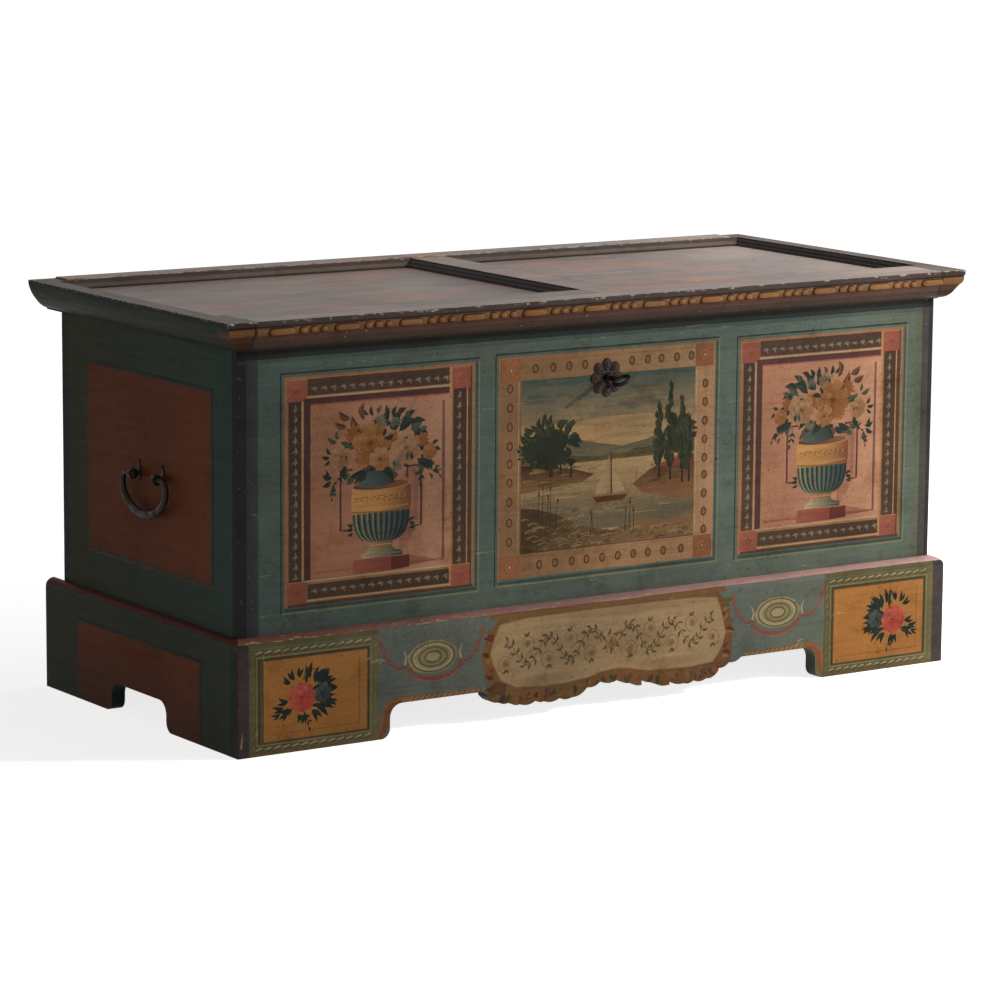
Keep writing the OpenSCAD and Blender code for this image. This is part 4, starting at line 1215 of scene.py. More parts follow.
def urn(art, x, z, flip):
    """A fluted urn on a block with a bouquet; u and v run from the middle of the block's foot."""
    pot = Patch(art, x, z)
    for grow in (0, 6, 12):
        pot.fill([(30, 24), (46, 30 + grow), (60 + grow, 70), (62 + grow, 120), (56, 150 + grow),
                  (30, 130)][::-1], (0.16, 0.062, 0.040), cover=0.16)
    pot.fill([(40, 2), (96, 8), (60, 17), (44, 20)], (0.15, 0.050, 0.036), cover=0.5)
    pot.fill([(-48, 0), (17, 0), (17, 21), (-47, 21)], BRICK, end=(0.22, 0.058, 0.045),
             along=((-48, 0), (17, 0)))
    pot.fill([(17, 0), (48, 2), (48, 20), (17, 21)], BRICK_DARK)
    pot.stroke([(-47, 20.5), (-20, 20.8), (17, 20.5), (40, 20)], 1.3, PINK_LIGHT, cover=0.6)
    pot.fill([(-33, 21), (36, 21), (36, 27), (22, 31), (17, 36), (-19, 36), (-25, 31), (-33, 26)], CREAM,
             end=TEAL_DARK, along=((-33, 0), (30, 0)))
    pot.stroke([(-31, 25), (0, 26), (34, 25)], 1.6, OLIVE_LIGHT, cover=0.7)
    pot.fill([(-19, 35), (18, 35), (20, 44), (-20, 44)], OCHRE, end=OCHRE_DARK, along=((-18, 0), (18, 0)))
    pot.stroke([(-19, 39), (18, 39)], 1.5, CREAM, cover=0.6)
    bowl = [(-u, v) for u, v in URN_PROFILE] + URN_PROFILE[::-1]
    pot.fill(bowl[::-1], (0.066, 0.085, 0.066), end=(0.026, 0.036, 0.042), along=((-30, 0), (42, 0)))
    for i in range(10):
        s = -0.9 + 1.8 * i / 9
        far = (s + 0.9) / 1.8
        tone = tuple(a + (b - a) * far for a, b in zip((0.30, 0.30, 0.175), (0.060, 0.095, 0.105)))
        path = [(s * u * 0.97, v) for u, v in URN_PROFILE]
        pot.stroke(path, 3.8 - 1.4 * abs(s), tone, taper=(0.4, 1.2), cover=0.75 - 0.4 * far)
        dark = [(s * u * 0.97 + 3.6, v) for u, v in URN_PROFILE]
        pot.stroke(dark, 2.4, LEAF, taper=(0.4, 1.2), cover=0.75)
    pot.fill([(-49, 86), (48.5, 86), (50, 95), (50, 121), (48, 126), (-48, 126), (-50, 118), (-50, 95)],
             (0.46, 0.235, 0.075), end=(0.145, 0.046, 0.030), along=((-6, 0), (52, 0)))
    pot.fill([(-49, 110), (-20, 112), (20, 112), (49, 109), (48, 126), (-48, 126)], (0.50, 0.270, 0.095),
             end=(0.20, 0.070, 0.040), along=((0, 0), (50, 0)), cover=0.6)
    pot.stroke([(-49, 89), (0, 86.5), (49, 89)], 2.6, OCHRE_DARK, cover=0.8)
    pot.stroke([(-47, 94), (0, 91.5), (46, 94)], 1.1, CREAM, cover=0.5)
    for i in range(9):
        u = -40 + 9.5 * i
        lift = 1.5 * math.sin(i * 2.1)
        art.ring(x + u, z + 106 + lift, 3.6, 3.0, 1.1, BRICK_DARK, span=(0.1, 0.75), count=8, cover=0.8)
        art.leaf(x + u + 3, z + 104 + lift, 0.8 + 0.5 * math.sin(i), 6.5, 2.2, BRICK_DARK)
        art.leaf(x + u - 1, z + 110 - lift, 3.6, 5.0, 1.8, OCHRE_DARK)
        art.ring(x + u - 0.8, z + 106.8 + lift, 3.4, 2.9, 0.9, CREAM, span=(0.3, 0.6), count=6, cover=0.6)
        art.leaf(x + u + 3.4, z + 104.9 + lift, 0.9 + 0.5 * math.sin(i), 6.0, 1.2, (0.56, 0.34, 0.14))
    art.oval(x, z + 125, 49, 6.2, BRICK_DARK, count=20, end=OCHRE_DARK, along=pot.all_at([(-40, 0), (40, 0)]))
    art.ring(x, z + 125, 48.5, 6.2, 1.8, OCHRE, span=(0.45, 1.05), count=18, cover=0.9)
    pot.fill([(-41, 126), (-36, 138), (-24, 148), (-8, 152), (6, 150), (17, 140), (23, 128), (0, 123),
              (-22, 123)], (0.075, 0.100, 0.084), end=LEAF, along=((-20, 126), (14, 154)))
    for u0, v0, u1, v1 in ((-44, 130, -26, 152), (-34, 142, -10, 157), (-14, 152, 12, 156),
                           (4, 154, 24, 138)):
        pot.stroke([(u0, v0), ((u0 + u1) / 2 - 1, (v0 + v1) / 2 + 1), (u1, v1 - 4)], 11, LEAF,
                   taper=(0.4, 1.1), cover=0.8)
    iron_line = (0.085, 0.036, 0.030)
    pot.stroke([(-48, 151.5), (-68, 151.5), (-68.5, 110), (-68, 65), (-56, 64), (-50, 67), (-50, 73)], 3.4,
               iron_line, shake=0.15)
    pot.stroke([(-70.6, 150), (-71, 110), (-70.6, 67)], 0.9, PINK_LIGHT, cover=0.7)
    pot.stroke([(44, 133), (44, 149), (67.5, 149.5), (68, 110), (67.5, 62), (56, 61), (50, 66), (47, 72)],
               3.6, iron_line, shake=0.15)
    pot.stroke([(58, 148), (59, 110), (58, 70)], 7.0, PINK_DARK, cover=0.35)
    for side in (-1, 1):
        for i in range(3):
            art.leaf(x + side * 47, z + 60 + 5 * i, 1.57 - side * (1.9 - 0.3 * i), 11, 4.4, LEAF, LEAF_LIGHT)
    bouquet(art, x, z, flip)


# Leaves of a bouquet: places, turns in degrees and lengths; the last number picks their green
BOUQUET_LEAVES = [(20, 222, 70, 17, 0), (27, 223, 35, 19, 0), (14, 226, 110, 16, 0), (33, 216, 5, 18, 1),
                  (40, 214, 42, 24, 0), (50, 208, 12, 26, 0), (46, 215, 75, 17, 1), (60, 200, -18, 20, 0),
                  (64, 196, 28, 17, 1), (-74, 192, 150, 18, 1), (-72, 196, 100, 14, 1),
                  (-86, 172, 170, 14, 0), (-84, 176, 125, 13, 0), (-86, 168, 215, 12, 0),
                  (-82, 142, 160, 18, 0), (-84, 138, 205, 17, 0), (-80, 134, 250, 20, 1),
                  (-86, 144, 118, 12, 0), (86, 176, 30, 14, 0), (88, 172, -20, 14, 0), (84, 142, 60, 13, 0),
                  (86, 140, -30, 14, 0), (82, 136, -70, 12, 1), (-52, 224, 145, 24, 2),
                  (-58, 214, 160, 22, 2), (-34, 226, 75, 22, 2), (-28, 222, 110, 16, 2),
                  (66, 164, -50, 24, 0), (62, 160, -75, 26, 1), (70, 166, -28, 20, 0), (-52, 146, 190, 18, 1),
                  (-46, 142, 225, 17, 1), (-14, 226, 100, 16, 0), (-6, 228, 60, 14, 1),
                  (-22, 228, 130, 12, 0), (24, 160, -60, 18, 0), (34, 154, -35, 16, 0), (8, 172, 40, 16, 1),
                  (-66, 182, 200, 15, 1), (16, 204, 60, 18, 0), (30, 200, 30, 34, 0), (22, 206, 62, 30, 0),
                  (44, 196, -8, 30, 0), (50, 190, 48, 30, 1), (10, 212, 84, 24, 0), (-40, 186, 165, 30, 1),
                  (-36, 206, 120, 28, 2), (-56, 184, 188, 24, 0), (-30, 150, 200, 26, 0),
                  (58, 170, 12, 32, 0), (-60, 160, 240, 22, 0), (60, 158, -40, 28, 0), (74, 160, -62, 24, 0),
                  (2, 146, -30, 22, 0), (-24, 146, 210, 22, 0)]
LEAF_GREENS = [(LEAF, LEAF_LIGHT), ((0.045, 0.060, 0.040), (0.11, 0.13, 0.075)), ((0.060, 0.034, 0.024), TAN)]
# Blooms of a bouquet: places, radii, and their paints
BOUQUET_BLOOMS = [
    (-46, 203, 17, (0.216, 0.080, 0.026), (0.270, 0.119, 0.044), (0.108, 0.037, 0.014), "rays"),
    (-67, 171, 17, (0.243, 0.119, 0.053), (0.324, 0.184, 0.095), (0.135, 0.057, 0.027), "round"),
    (-3, 216, 15, (0.117, 0.098, 0.068), (0.243, 0.197, 0.133), (0.045, 0.045, 0.034), "rays"),
    (24, 214, 9, (0.063, 0.074, 0.059), (0.135, 0.135, 0.099), LEAF, "round"),
    (-32, 166, 15, (0.279, 0.097, 0.027), (0.324, 0.148, 0.053), OCHRE_DARK, "rays"),
    (82, 168, 13, (0.225, 0.082, 0.027), (0.297, 0.135, 0.055), OCHRE_DARK, "round"),
    (70, 186, 12, (0.207, 0.072, 0.026), (0.270, 0.119, 0.047), OCHRE_DARK, "rays"),
    (22, 188, 14, (0.261, 0.090, 0.026), (0.297, 0.127, 0.046), (0.108, 0.034, 0.012), "round"),
    (42, 176, 26, (0.266, 0.131, 0.062), (0.342, 0.197, 0.106), (0.140, 0.054, 0.024), "round"),
    (-18, 187, 32, (0.221, 0.089, 0.029), (0.315, 0.148, 0.056), (0.108, 0.035, 0.014), "round"),
    (-2, 163, 18, (0.270, 0.108, 0.040), (0.351, 0.193, 0.091), (0.126, 0.041, 0.015), "round"),
    (26, 152, 11, (0.135, 0.111, 0.076), (0.225, 0.172, 0.114), LEAF_LIGHT, "rays"),
]


def bouquet(art, x, z, flip):
    """Leaves, sprigs and blooms over an urn whose foot is at (x, z)."""
    for u, v, turn, length, green in BOUQUET_LEAVES:
        a = facing(turn, flip)
        dark, light = LEAF_GREENS[green]
        art.leaf(x + flip * u, z + v, a, length, length * 0.42, dark, light, bend=0.14 * flip)
    for u, v, turn, length in ((-56, 150, 215, 22), (88, 150, -60, 20), (-80, 132, 262, 18),
                               (60, 150, -80, 26)):
        a = facing(turn, flip)
        art.sprig(x + flip * u, z + v, a, length, LEAF, LEAF_LIGHT, pairs=2, size=0.36)
    for u, v, r, base, light, dark, kind in BOUQUET_BLOOMS:
        if kind == "rays":
            art.rays(x + flip * u, z + v, r, base, light)
        else:
            art.flower(x + flip * u, z + v, r, base, light, dark)
    for u, v, turn, length, green in BOUQUET_LEAVES[::4]:
        a = facing(turn + 160, flip)
        dark, light = LEAF_GREENS[green]
        art.leaf(x + flip * u * 0.72, z + v * 0.96 + 4, a, length * 0.55, length * 0.24, dark, light)


# The rings of the border, as shares of each side
RINGS_ABOVE = (0.08, 0.18, 0.27, 0.36, 0.63, 0.72, 0.80, 0.89, 0.975)
RINGS_BELOW = (0.11, 0.20, 0.295, 0.38, 0.47, 0.56, 0.65, 0.735, 0.825, 0.93)
RINGS_LEFT = (0.08, 0.19, 0.31, 0.42, 0.53, 0.63, 0.74, 0.85, 0.96)
RINGS_RIGHT = (0.03, 0.135, 0.245, 0.355, 0.455, 0.565, 0.675, 0.785, 0.895)


def beaded_border(art, x0, x1, z0, z1):
    """An ochre border with small dark rings and dotted orange corners. Returns the field inside it."""
    art.box(x0, z0, x1, z1, (0.225, 0.124, 0.060), end=(0.360, 0.208, 0.108), along=((x0, 0), (x1, 0)))
    art.wash(70, (x0 + 2, x1 - 50), (z0 + 2, z1 - 2), (14, 46), (2, 6), (TAN, OCHRE, OCHRE_DARK), 0.16,
             tone_last=True)
    raised_outline(art, x0, z0, x1, z1)
    square = 17.0
    corners = [(x0 + 19, z0 + 17.5), (x1 - 19, z0 + 17.5), (x0 + 19, z1 - 17), (x1 - 19, z1 - 17)]
    left, low, right, high = x0 + 36.5, z0 + 35, x1 - 36.5, z1 - 33.5
    art.rules(
        (left - 1, z1 - 5, right + 1, z1 - 5, 0.8, OCHRE_DARK, 0.7),
        (left - 1, z0 + 32, right + 1, z0 + 32, 0.8, OCHRE_DARK, 0.7),
        (x0 + 33, low, x0 + 33, high, 1.6, CREAM, 0.5),
        (x1 - 34, low, x1 - 34, high, 2.0, CREAM, 0.6))
    for x, z in corners:
        art.box(x - square, z - square, x + square, z + square, (0.255, 0.105, 0.048))
        art.line((x - square, z - square), (x - square, z + square), 1.0, BRICK_DARK, cover=0.5)
        art.ring(x, z, 9, 9, 1.2, BRICK_DARK, count=18, cover=0.45)
        for i in range(10):
            a = 2 * math.pi * i / 10
            art.oval(x + 7.5 * math.cos(a), z + 7.5 * math.sin(a), 1.0, 1.0, CREAM, count=7, cover=0.6)
        art.oval(x, z, 2.2, 2.2, CREAM, count=8, cover=0.7)
    rings = []
    for z, shares in ((z1 - 17, RINGS_ABOVE), (z0 + 17, RINGS_BELOW)):
        rings += [(left + share * (right - left), z) for share in shares]
    for x, shares in ((x0 + 17.5, RINGS_LEFT), (x1 - 17.5, RINGS_RIGHT)):
        rings += [(x, low + share * (high - low)) for share in shares]
    art.rules(
        (left, z1 - 17, right, z1 - 17, 0.9, OCHRE_DARK, 0.6),
        (left, z0 + 17, right, z0 + 17, 0.9, OCHRE_DARK, 0.6),
        (x0 + 17.5, low, x0 + 17.5, high, 0.9, OCHRE_DARK, 0.6),
        (x1 - 17.5, low, x1 - 17.5, high, 0.9, OCHRE_DARK, 0.6))
    for x, z in rings:
        art.oval(x, z, 4.8, 6.2, (0.215, 0.125, 0.058), count=12)
        art.ring(x, z, 4.4, 5.8, 2.4, (0.085, 0.042, 0.026), count=16, shake=0.12)
        art.ring(x, z, 4.9, 6.2, 2.0, (0.070, 0.034, 0.022), span=(0.22, 0.72), count=9, taper=(0.4, 0.4))
        art.stroke([(x - 0.5, z + 5.5), (x + 0.2, z), (x - 0.4, z - 5.5)], 1.2, OCHRE_DARK, cover=0.8)
    return left, low, right, high


def crown(art, x, z, rx, rz, dark, light, dabs):
    """A leafy crown of brush dabs, lighter at its top."""
    art.oval(x, z, rx * 0.8, rz * 0.8, dark, count=12, shake=0.12)
    for _ in range(dabs):
        a = art.vary(0, 6.28)
        far = math.sqrt(art.hand.random())
        lit = light if math.sin(a) * far > 0.15 else None
        art.leaf(x + rx * far * math.cos(a), z + rz * far * math.sin(a), a + art.vary(-0.7, 0.7), rx * 0.42,
                 rx * 0.19, dark, lit)


# Outlines in the made-up view, as shares of its width and height
FAR_RIDGE = [(0, 0.62), (0.08, 0.655), (0.16, 0.63), (0.25, 0.68), (0.34, 0.63), (0.45, 0.60), (0.58, 0.575),
             (0.72, 0.60), (0.86, 0.65), (1, 0.67), (1, 0.5), (0, 0.5)]
NEAR_RIDGE = [(0, 0.555), (0.12, 0.575), (0.28, 0.545), (0.42, 0.525), (0.58, 0.53), (0.75, 0.56),
              (0.9, 0.60), (1, 0.61), (1, 0.48), (0, 0.48)]
LEFT_SHORE = [(0, 0.51), (0.14, 0.50), (0.30, 0.465), (0.42, 0.425), (0.35, 0.385), (0.17, 0.365), (0, 0.35)]
RIGHT_SHORE = [(1, 0.49), (0.87, 0.475), (0.74, 0.42), (0.64, 0.345), (0.70, 0.285), (0.85, 0.245),
               (1, 0.215)]
NEAR_BANK = [(0, 0), (1, 0), (1, 0.15), (0.86, 0.115), (0.7, 0.135), (0.52, 0.085), (0.36, 0.125),
             (0.2, 0.215), (0.08, 0.255), (0, 0.265)]
POPLARS = [(0.86, 0.38, 0.50, 0.050), (0.93, 0.36, 0.43, 0.045), (0.795, 0.40, 0.36, 0.038),
           (0.97, 0.36, 0.30, 0.030)]
SHORE_TREES = [(0.06, 0.585, 0.060, 0.075), (0.15, 0.555, 0.048, 0.060), (0.225, 0.53, 0.036, 0.045),
               (0.285, 0.505, 0.025, 0.03)]
REEDS = [(0.10, 0.17), (0.125, 0.21), (0.15, 0.16), (0.17, 0.22), (0.20, 0.15), (0.60, 0.13), (0.625, 0.17),
         (0.65, 0.12), (0.40, 0.10), (0.42, 0.13)]


def landscape(art, x0, z0, x1, z1):
    """A made-up view: a lake between low hills under an evening sky, with trees and reeds."""
    wide = x1 - x0
    high = z1 - z0
    view = Patch(art, x0, z0, wide, high)
    at = view.at

    def sweep(count, us, vs, reaches, widths, tones, cover, rise=0.0):
        for _ in range(count):
            u = art.vary(*us)
            v = art.vary(*vs)
            reach = art.vary(*reaches)
            end = min(1, u + reach)
            view.stroke([(u, v), ((u + end) / 2, v + rise + art.vary(-0.006, 0.006)), (end, v)],
                        art.vary(*widths), art.pick(tones), taper=(0.9, 0.25), cover=cover)

    art.box(x0, z0, x1, z1, (0.060, 0.086, 0.070), end=(0.40, 0.255, 0.110), along=(at(0, 0.98), at(0, 0.58)))
    sweep(110, (0, 0.86), (0.74, 0.985), (0.05, 0.17), (4, 10),
          ((0.115, 0.125, 0.090), (0.045, 0.066, 0.056), (0.155, 0.120, 0.078), (0.075, 0.098, 0.082)), 0.32)
    sweep(70, (0, 0.86), (0.60, 0.76), (0.06, 0.2), (3, 8),
          ((0.44, 0.27, 0.115), (0.30, 0.180, 0.088), (0.20, 0.17, 0.10), (0.46, 0.235, 0.12)), 0.33)
    sweep(40, (0.45, 0.86), (0.80, 0.96), (0.05, 0.14), (4, 10),
          ((0.150, 0.088, 0.058), (0.110, 0.080, 0.056), (0.075, 0.070, 0.052)), 0.30)
    art.oval(*at(0.30, 0.665), 0.19 * wide, 0.050 * high, (0.54, 0.32, 0.13), count=20, cover=0.38)
    view.fill(FAR_RIDGE, (0.080, 0.095, 0.068), end=(0.17, 0.135, 0.070), along=((0, 0.68), (0, 0.52)))
    view.fill(NEAR_RIDGE, (0.052, 0.052, 0.030), end=(0.12, 0.092, 0.042), along=((0, 0.6), (0, 0.5)))
    sweep(40, (0, 0.9), (0.50, 0.56), (0.04, 0.1), (2, 4),
          ((0.10, 0.078, 0.036), (0.040, 0.042, 0.024)), 0.5, 0.006)
    art.box(*at(0, 0.10), *at(1, 0.5), (0.385, 0.250, 0.120), end=(0.140, 0.112, 0.066),
            along=(at(0, 0.47), at(0, 0.18)))
    sweep(90, (0, 0.9), (0.15, 0.485), (0.05, 0.18), (1.4, 3.8),
          ((0.46, 0.32, 0.155), (0.085, 0.080, 0.050), (0.27, 0.185, 0.095), (0.065, 0.056, 0.036)), 0.45)
    view.fill(LEFT_SHORE, (0.050, 0.028, 0.016), end=(0.190, 0.098, 0.044), along=((0, 0.5), (0, 0.37)))
    view.fill(RIGHT_SHORE, (0.085, 0.040, 0.024), end=(0.240, 0.118, 0.056), along=((0, 0.47), (0, 0.24)))
    sweep(26, (0, 0.3), (0.375, 0.49), (0.04, 0.12), (2, 5),
          ((0.25, 0.185, 0.062), (0.045, 0.032, 0.018), (0.21, 0.115, 0.050)), 0.5)
    sweep(26, (0.7, 0.96), (0.27, 0.455), (0.04, 0.12), (2, 5),
          ((0.20, 0.115, 0.046), (0.050, 0.040, 0.020)), 0.5)
    view.fill(NEAR_BANK, (0.075, 0.046, 0.024), end=(0.215, 0.125, 0.062), along=((0.1, 0.25), (0.7, 0)))
    sweep(80, (0, 0.34), (0.01, 0.215), (0.02, 0.08), (2, 5),
          ((0.30, 0.185, 0.090), (0.040, 0.028, 0.015), (0.140, 0.098, 0.050)), 0.55, 0.012)
    sweep(70, (0.3, 0.95), (0.01, 0.09), (0.02, 0.08), (2, 5),
          ((0.33, 0.200, 0.098), (0.045, 0.030, 0.016), (0.150, 0.105, 0.052)), 0.55, 0.010)
    for u, v, rx, rz in SHORE_TREES:
        view.stroke([(u, v - 0.09), (u + 0.004, v)], 3.0, INK, taper=(1.2, 0.8))
        crown(art, *at(max(u, rx), v), rx * wide, rz * high, (0.026, 0.032, 0.020), (0.095, 0.085, 0.036), 30)
    view.fill([(1, 0.49), (0.87, 0.475), (0.77, 0.435), (0.85, 0.425), (1, 0.435)], (0.235, 0.058, 0.038),
              end=(0.150, 0.045, 0.030), along=((0.8, 0), (1, 0)))
    view.stroke([(0.175, 0.43), (0.165, 0.52), (0.18, 0.60)], 6.5, (0.040, 0.026, 0.016), taper=(1.3, 0.6))
    crown(art, *at(0.17, 0.635), 0.135 * wide, 0.105 * high, (0.028, 0.033, 0.021), (0.110, 0.100, 0.050), 90)
    crown(art, *at(0.91, 0.60), 0.085 * wide, 0.125 * high, (0.036, 0.032, 0.020), (0.092, 0.066, 0.034), 70)
    view.fill([(0.515, 0.300), (0.425, 0.307), (0.508, 0.530)], (0.42, 0.29, 0.150), end=(0.30, 0.200, 0.105),
              along=((0.43, 0), (0.515, 0)))
    view.fill([(0.525, 0.300), (0.598, 0.306), (0.518, 0.480)][::-1], (0.38, 0.255, 0.130))
    view.stroke([(0.519, 0.285), (0.514, 0.545)], 2.4, (0.060, 0.036, 0.022))
    view.fill([(0.405, 0.296), (0.620, 0.296), (0.585, 0.256), (0.435, 0.254)][::-1], (0.105, 0.040, 0.024))
    view.stroke([(0.405, 0.293), (0.62, 0.293)], 2.2, (0.26, 0.14, 0.066))
    sweep(16, (0.42, 0.56), (0.185, 0.245), (0.02, 0.07), (1.4, 3.0), (CREAM, (0.32, 0.22, 0.12)), 0.45)
    for u, v, tall, broad in POPLARS:
        view.stroke([(u, v - 0.035), (u, v + 0.08)], 3.2, INK, taper=(1.2, 0.7))
        for i in range(34):
            t = i / 33
            spread = broad * math.sin(math.pi * min(1, t * 0.86 + 0.12)) * 0.8
            du = art.vary(-spread, spread) * 0.7
            q = at(min(0.985, u + du), v + 0.03 + t * tall * 0.95)
            art.leaf(q[0], q[1], 1.57 + du * -9 + art.vary(-0.3, 0.3), 19 - 6 * t, 9 - 3 * t,
                     art.pick(((0.022, 0.028, 0.018), (0.036, 0.042, 0.024))),
                     (0.090, 0.080, 0.036) if du < 0 else None)
    for u, tall in REEDS:
        base_v = 0.2 - u * 0.3 if u < 0.3 else 0.07
        lean = art.vary(-0.02, 0.02)
        view.stroke([(u, base_v), (u + lean * 0.4, base_v + tall * 0.5), (u + lean, base_v + tall)], 1.5,
                    (0.040, 0.034, 0.018), taper=(1.2, 0.4))
        art.oval(*at(u + lean, base_v + tall), 1.6, 5.0, (0.085, 0.040, 0.020), turn=-lean * 4, count=8)
    view.stroke([(0, 0.003), (0.5, 0.003), (1, 0.003)], 1.6, BROWN, cover=0.7)
    view.stroke([(0.002, 0), (0.002, 1)], 1.4, OCHRE_DARK, cover=0.7)


def paint_front():
    """The box's front: teal, with two urns of flowers and the view between them."""
    art = Painting(11)
    x0, x1, z0, z1 = -END_X, END_X, BASE_TOP - 1.5, BOX_TOP
    art.box(x0, z0, x1, z1, TEAL, shake=0, end=(0.112, 0.140, 0.112), along=((x0, 0), (x1, 0)), shift=0)
    art.wash(300, (x0 + 36, x1 - 150), (z0 + 4, z1 - 4), (40, 125), (3, 9),
             (TEAL_LIGHT, TEAL_DARK, (0.075, 0.105, 0.112), (0.105, 0.120, 0.085)), 0.13)
    art.box(-593, z0, -590, z1, TEAL_DARK, cover=0.5)
    art.box(x0, z0, -592.5, z1, SLATE, shake=0, end=(0.044, 0.050, 0.056), along=((-614, 0), (-593, 0)))
    art.box(x0, z0, -610.5, z1, NIGHT, shake=0)
    art.box(591, z0, 603, z1, (0.105, 0.115, 0.070), cover=0.6)
    art.box(603.5, z0, x1, z1, (0.072, 0.068, 0.064), shake=0)
    art.box(617, z0, x1, z1, SLATE, shake=0)
    for _ in range(46):
        side = art.pick((-1, 1))
        x = art.vary(-624, -598) if side < 0 else art.vary(606, 624)
        z = art.vary(z0, z1 - 6)
        art.chip(x, z, (1, 5), (0.5, 1.3), 0.3)
    urn_panel(art, -547, -229, 204.5, 531, 1)
    urn_panel(art, 252, 566, 204.5, 531, -1)
    # Painted shadow under the lid's overhang: a near-black band along the top of the front, and a fainter
    # dark band below it
    art.box(x0, 561, x1, z1, (0.014, 0.015, 0.014), cover=0.85)
    art.box(x0, 555, x1, 561, TEAL_DARK, cover=0.5)
    landscape(art, *beaded_border(art, -185, 203, 207, 533))
    art.scratches(((-590, 253, 34, 1), (-226, 252, 36, -1), (-224, 250, 20, 1), (-600, 344, 9, -6),
                   (232, 440, 16, 1), (-588, 195, 22, 1), (-300, 543, 3, 18), (574, 308, 24, 2),
                   (150, 560, 40, 2), (-160, 466, 30, 0), (215, 555, 26, 1), (-215, 462, 24, 1),
                   (570, 402, 12, 3), (-60, 545, 18, -1)), 0.9, 0.4, thin=0.2, cover=0.5)
    for _ in range(60):
        x = art.vary(-590, 560)
        z = art.vary(z0 + 4, 198) if art.hand.random() < 0.4 else art.vary(541, 555)
        reach = art.vary(3, 16)
        art.stroke([(x, z), (x + reach, z + art.vary(-1, 1))], art.vary(0.7, 1.8),
                   art.pick((CREAM, NIGHT, TEAL_LIGHT)), taper=(1, 0.3), cover=0.4)
    art.oval(208, 355.5, 2.6, 2.0, INK, count=9)
    hole = loop_segments([(LOCK_X + 5 * math.cos(a * math.pi / 8), LOCK_Z + 5 * math.sin(a * math.pi / 8))
                          for a in range(16)])
    slot = loop_segments([(LOCK_X - 2.75, LOCK_Z - 16), (LOCK_X + 2.75, LOCK_Z - 16),
                          (LOCK_X + 2.75, LOCK_Z), (LOCK_X - 2.75, LOCK_Z)])
    for segments in (hole, slot):
        art.fill([s[0] for s in segments], INK)
    outline = loop_segments([(x0, z0), (x1, z0), (x1, z1), (x0, z1)])
    return art.mesh("front_painting", on_front(FRONT_Y), outline, (hole, slot))


def swag(art, x, side):
    """A medallion with a ribbon from its two sides up to the top of the base."""
    ribbon = (0.190, 0.080, 0.062)
    shine = (0.270, 0.145, 0.105)
    z, rx, rz = 112, 43, 24.5
    for p in (((-92, 150), (-84, 128), (-74, 110), (-60, 102), (-44, 103)),
              ((44, 103), (60, 102), (74, 114), (82, 132), (86, 150))):
        path = [(x + side * u, v) for u, v in p]
        art.stroke(path, 7.0, ribbon, taper=(0.8, 1.0), shake=0.4)
        art.stroke([(u, v + 1.6) for u, v in path], 1.8, shine, taper=(0.8, 0.8), cover=0.6)
    art.ring(x + side * 4, 104, 46, 25, 9.0, ribbon, span=(0.53, 0.97), count=16, taper=(0.9, 0.9))
    art.ring(x + side * 4, 101, 45, 25, 2.0, shine, span=(0.56, 0.92), count=14, cover=0.6)
    for bend in (-1, 1):
        art.stroke([(x + bend * 50, 126), (x + bend * 46, 116), (x + bend * 48, 105)], 4.0, CREAM,
                   taper=(0.4, 1.1), cover=0.8)
    art.oval(x, z, rx, rz, (0.20, 0.185, 0.098), count=26, end=(0.30, 0.25, 0.135),
             along=((x + 30, 90), (x - 30, 134)))
    for r, colour in ((0.86, OLIVE_DARK), (0.76, CREAM), (0.56, OLIVE_DARK), (0.47, OLIVE_LIGHT),
                      (0.33, OLIVE_DARK)):
        width = 2.6 if colour == OLIVE_DARK else 3.6
        art.ring(x, z, rx * r, rz * r, width, colour, count=26, cover=0.7, shake=0.2)
    art.oval(x, z, 12, 6.5, (0.34, 0.27, 0.145), count=14)


def rope_edge(art, x0, x1, z, rise):
    """A twisted ochre edging along the top of a cut."""
    count = int(abs(x1 - x0) / 9)
    spine = []
    for i in range(count + 1):
        t = i / count
        spine.append((x0 + t * (x1 - x0), z + rise * t * t))
    art.stroke(spine, 13, OCHRE_DARK)
    art.stroke([(x, y + 0.5) for x, y in spine], 9, TAN)
    for x, y in spine[:-1]:
        art.stroke([(x, y - 5), (x + 4, y), (x + 9, y + 5.5)], 3.2, OLIVE_LIGHT, taper=(0.5, 0.9), cover=0.85)
        art.stroke([(x + 3.5, y - 5), (x + 8, y), (x + 12, y + 5)], 1.3, BROWN, taper=(0.6, 1.0))


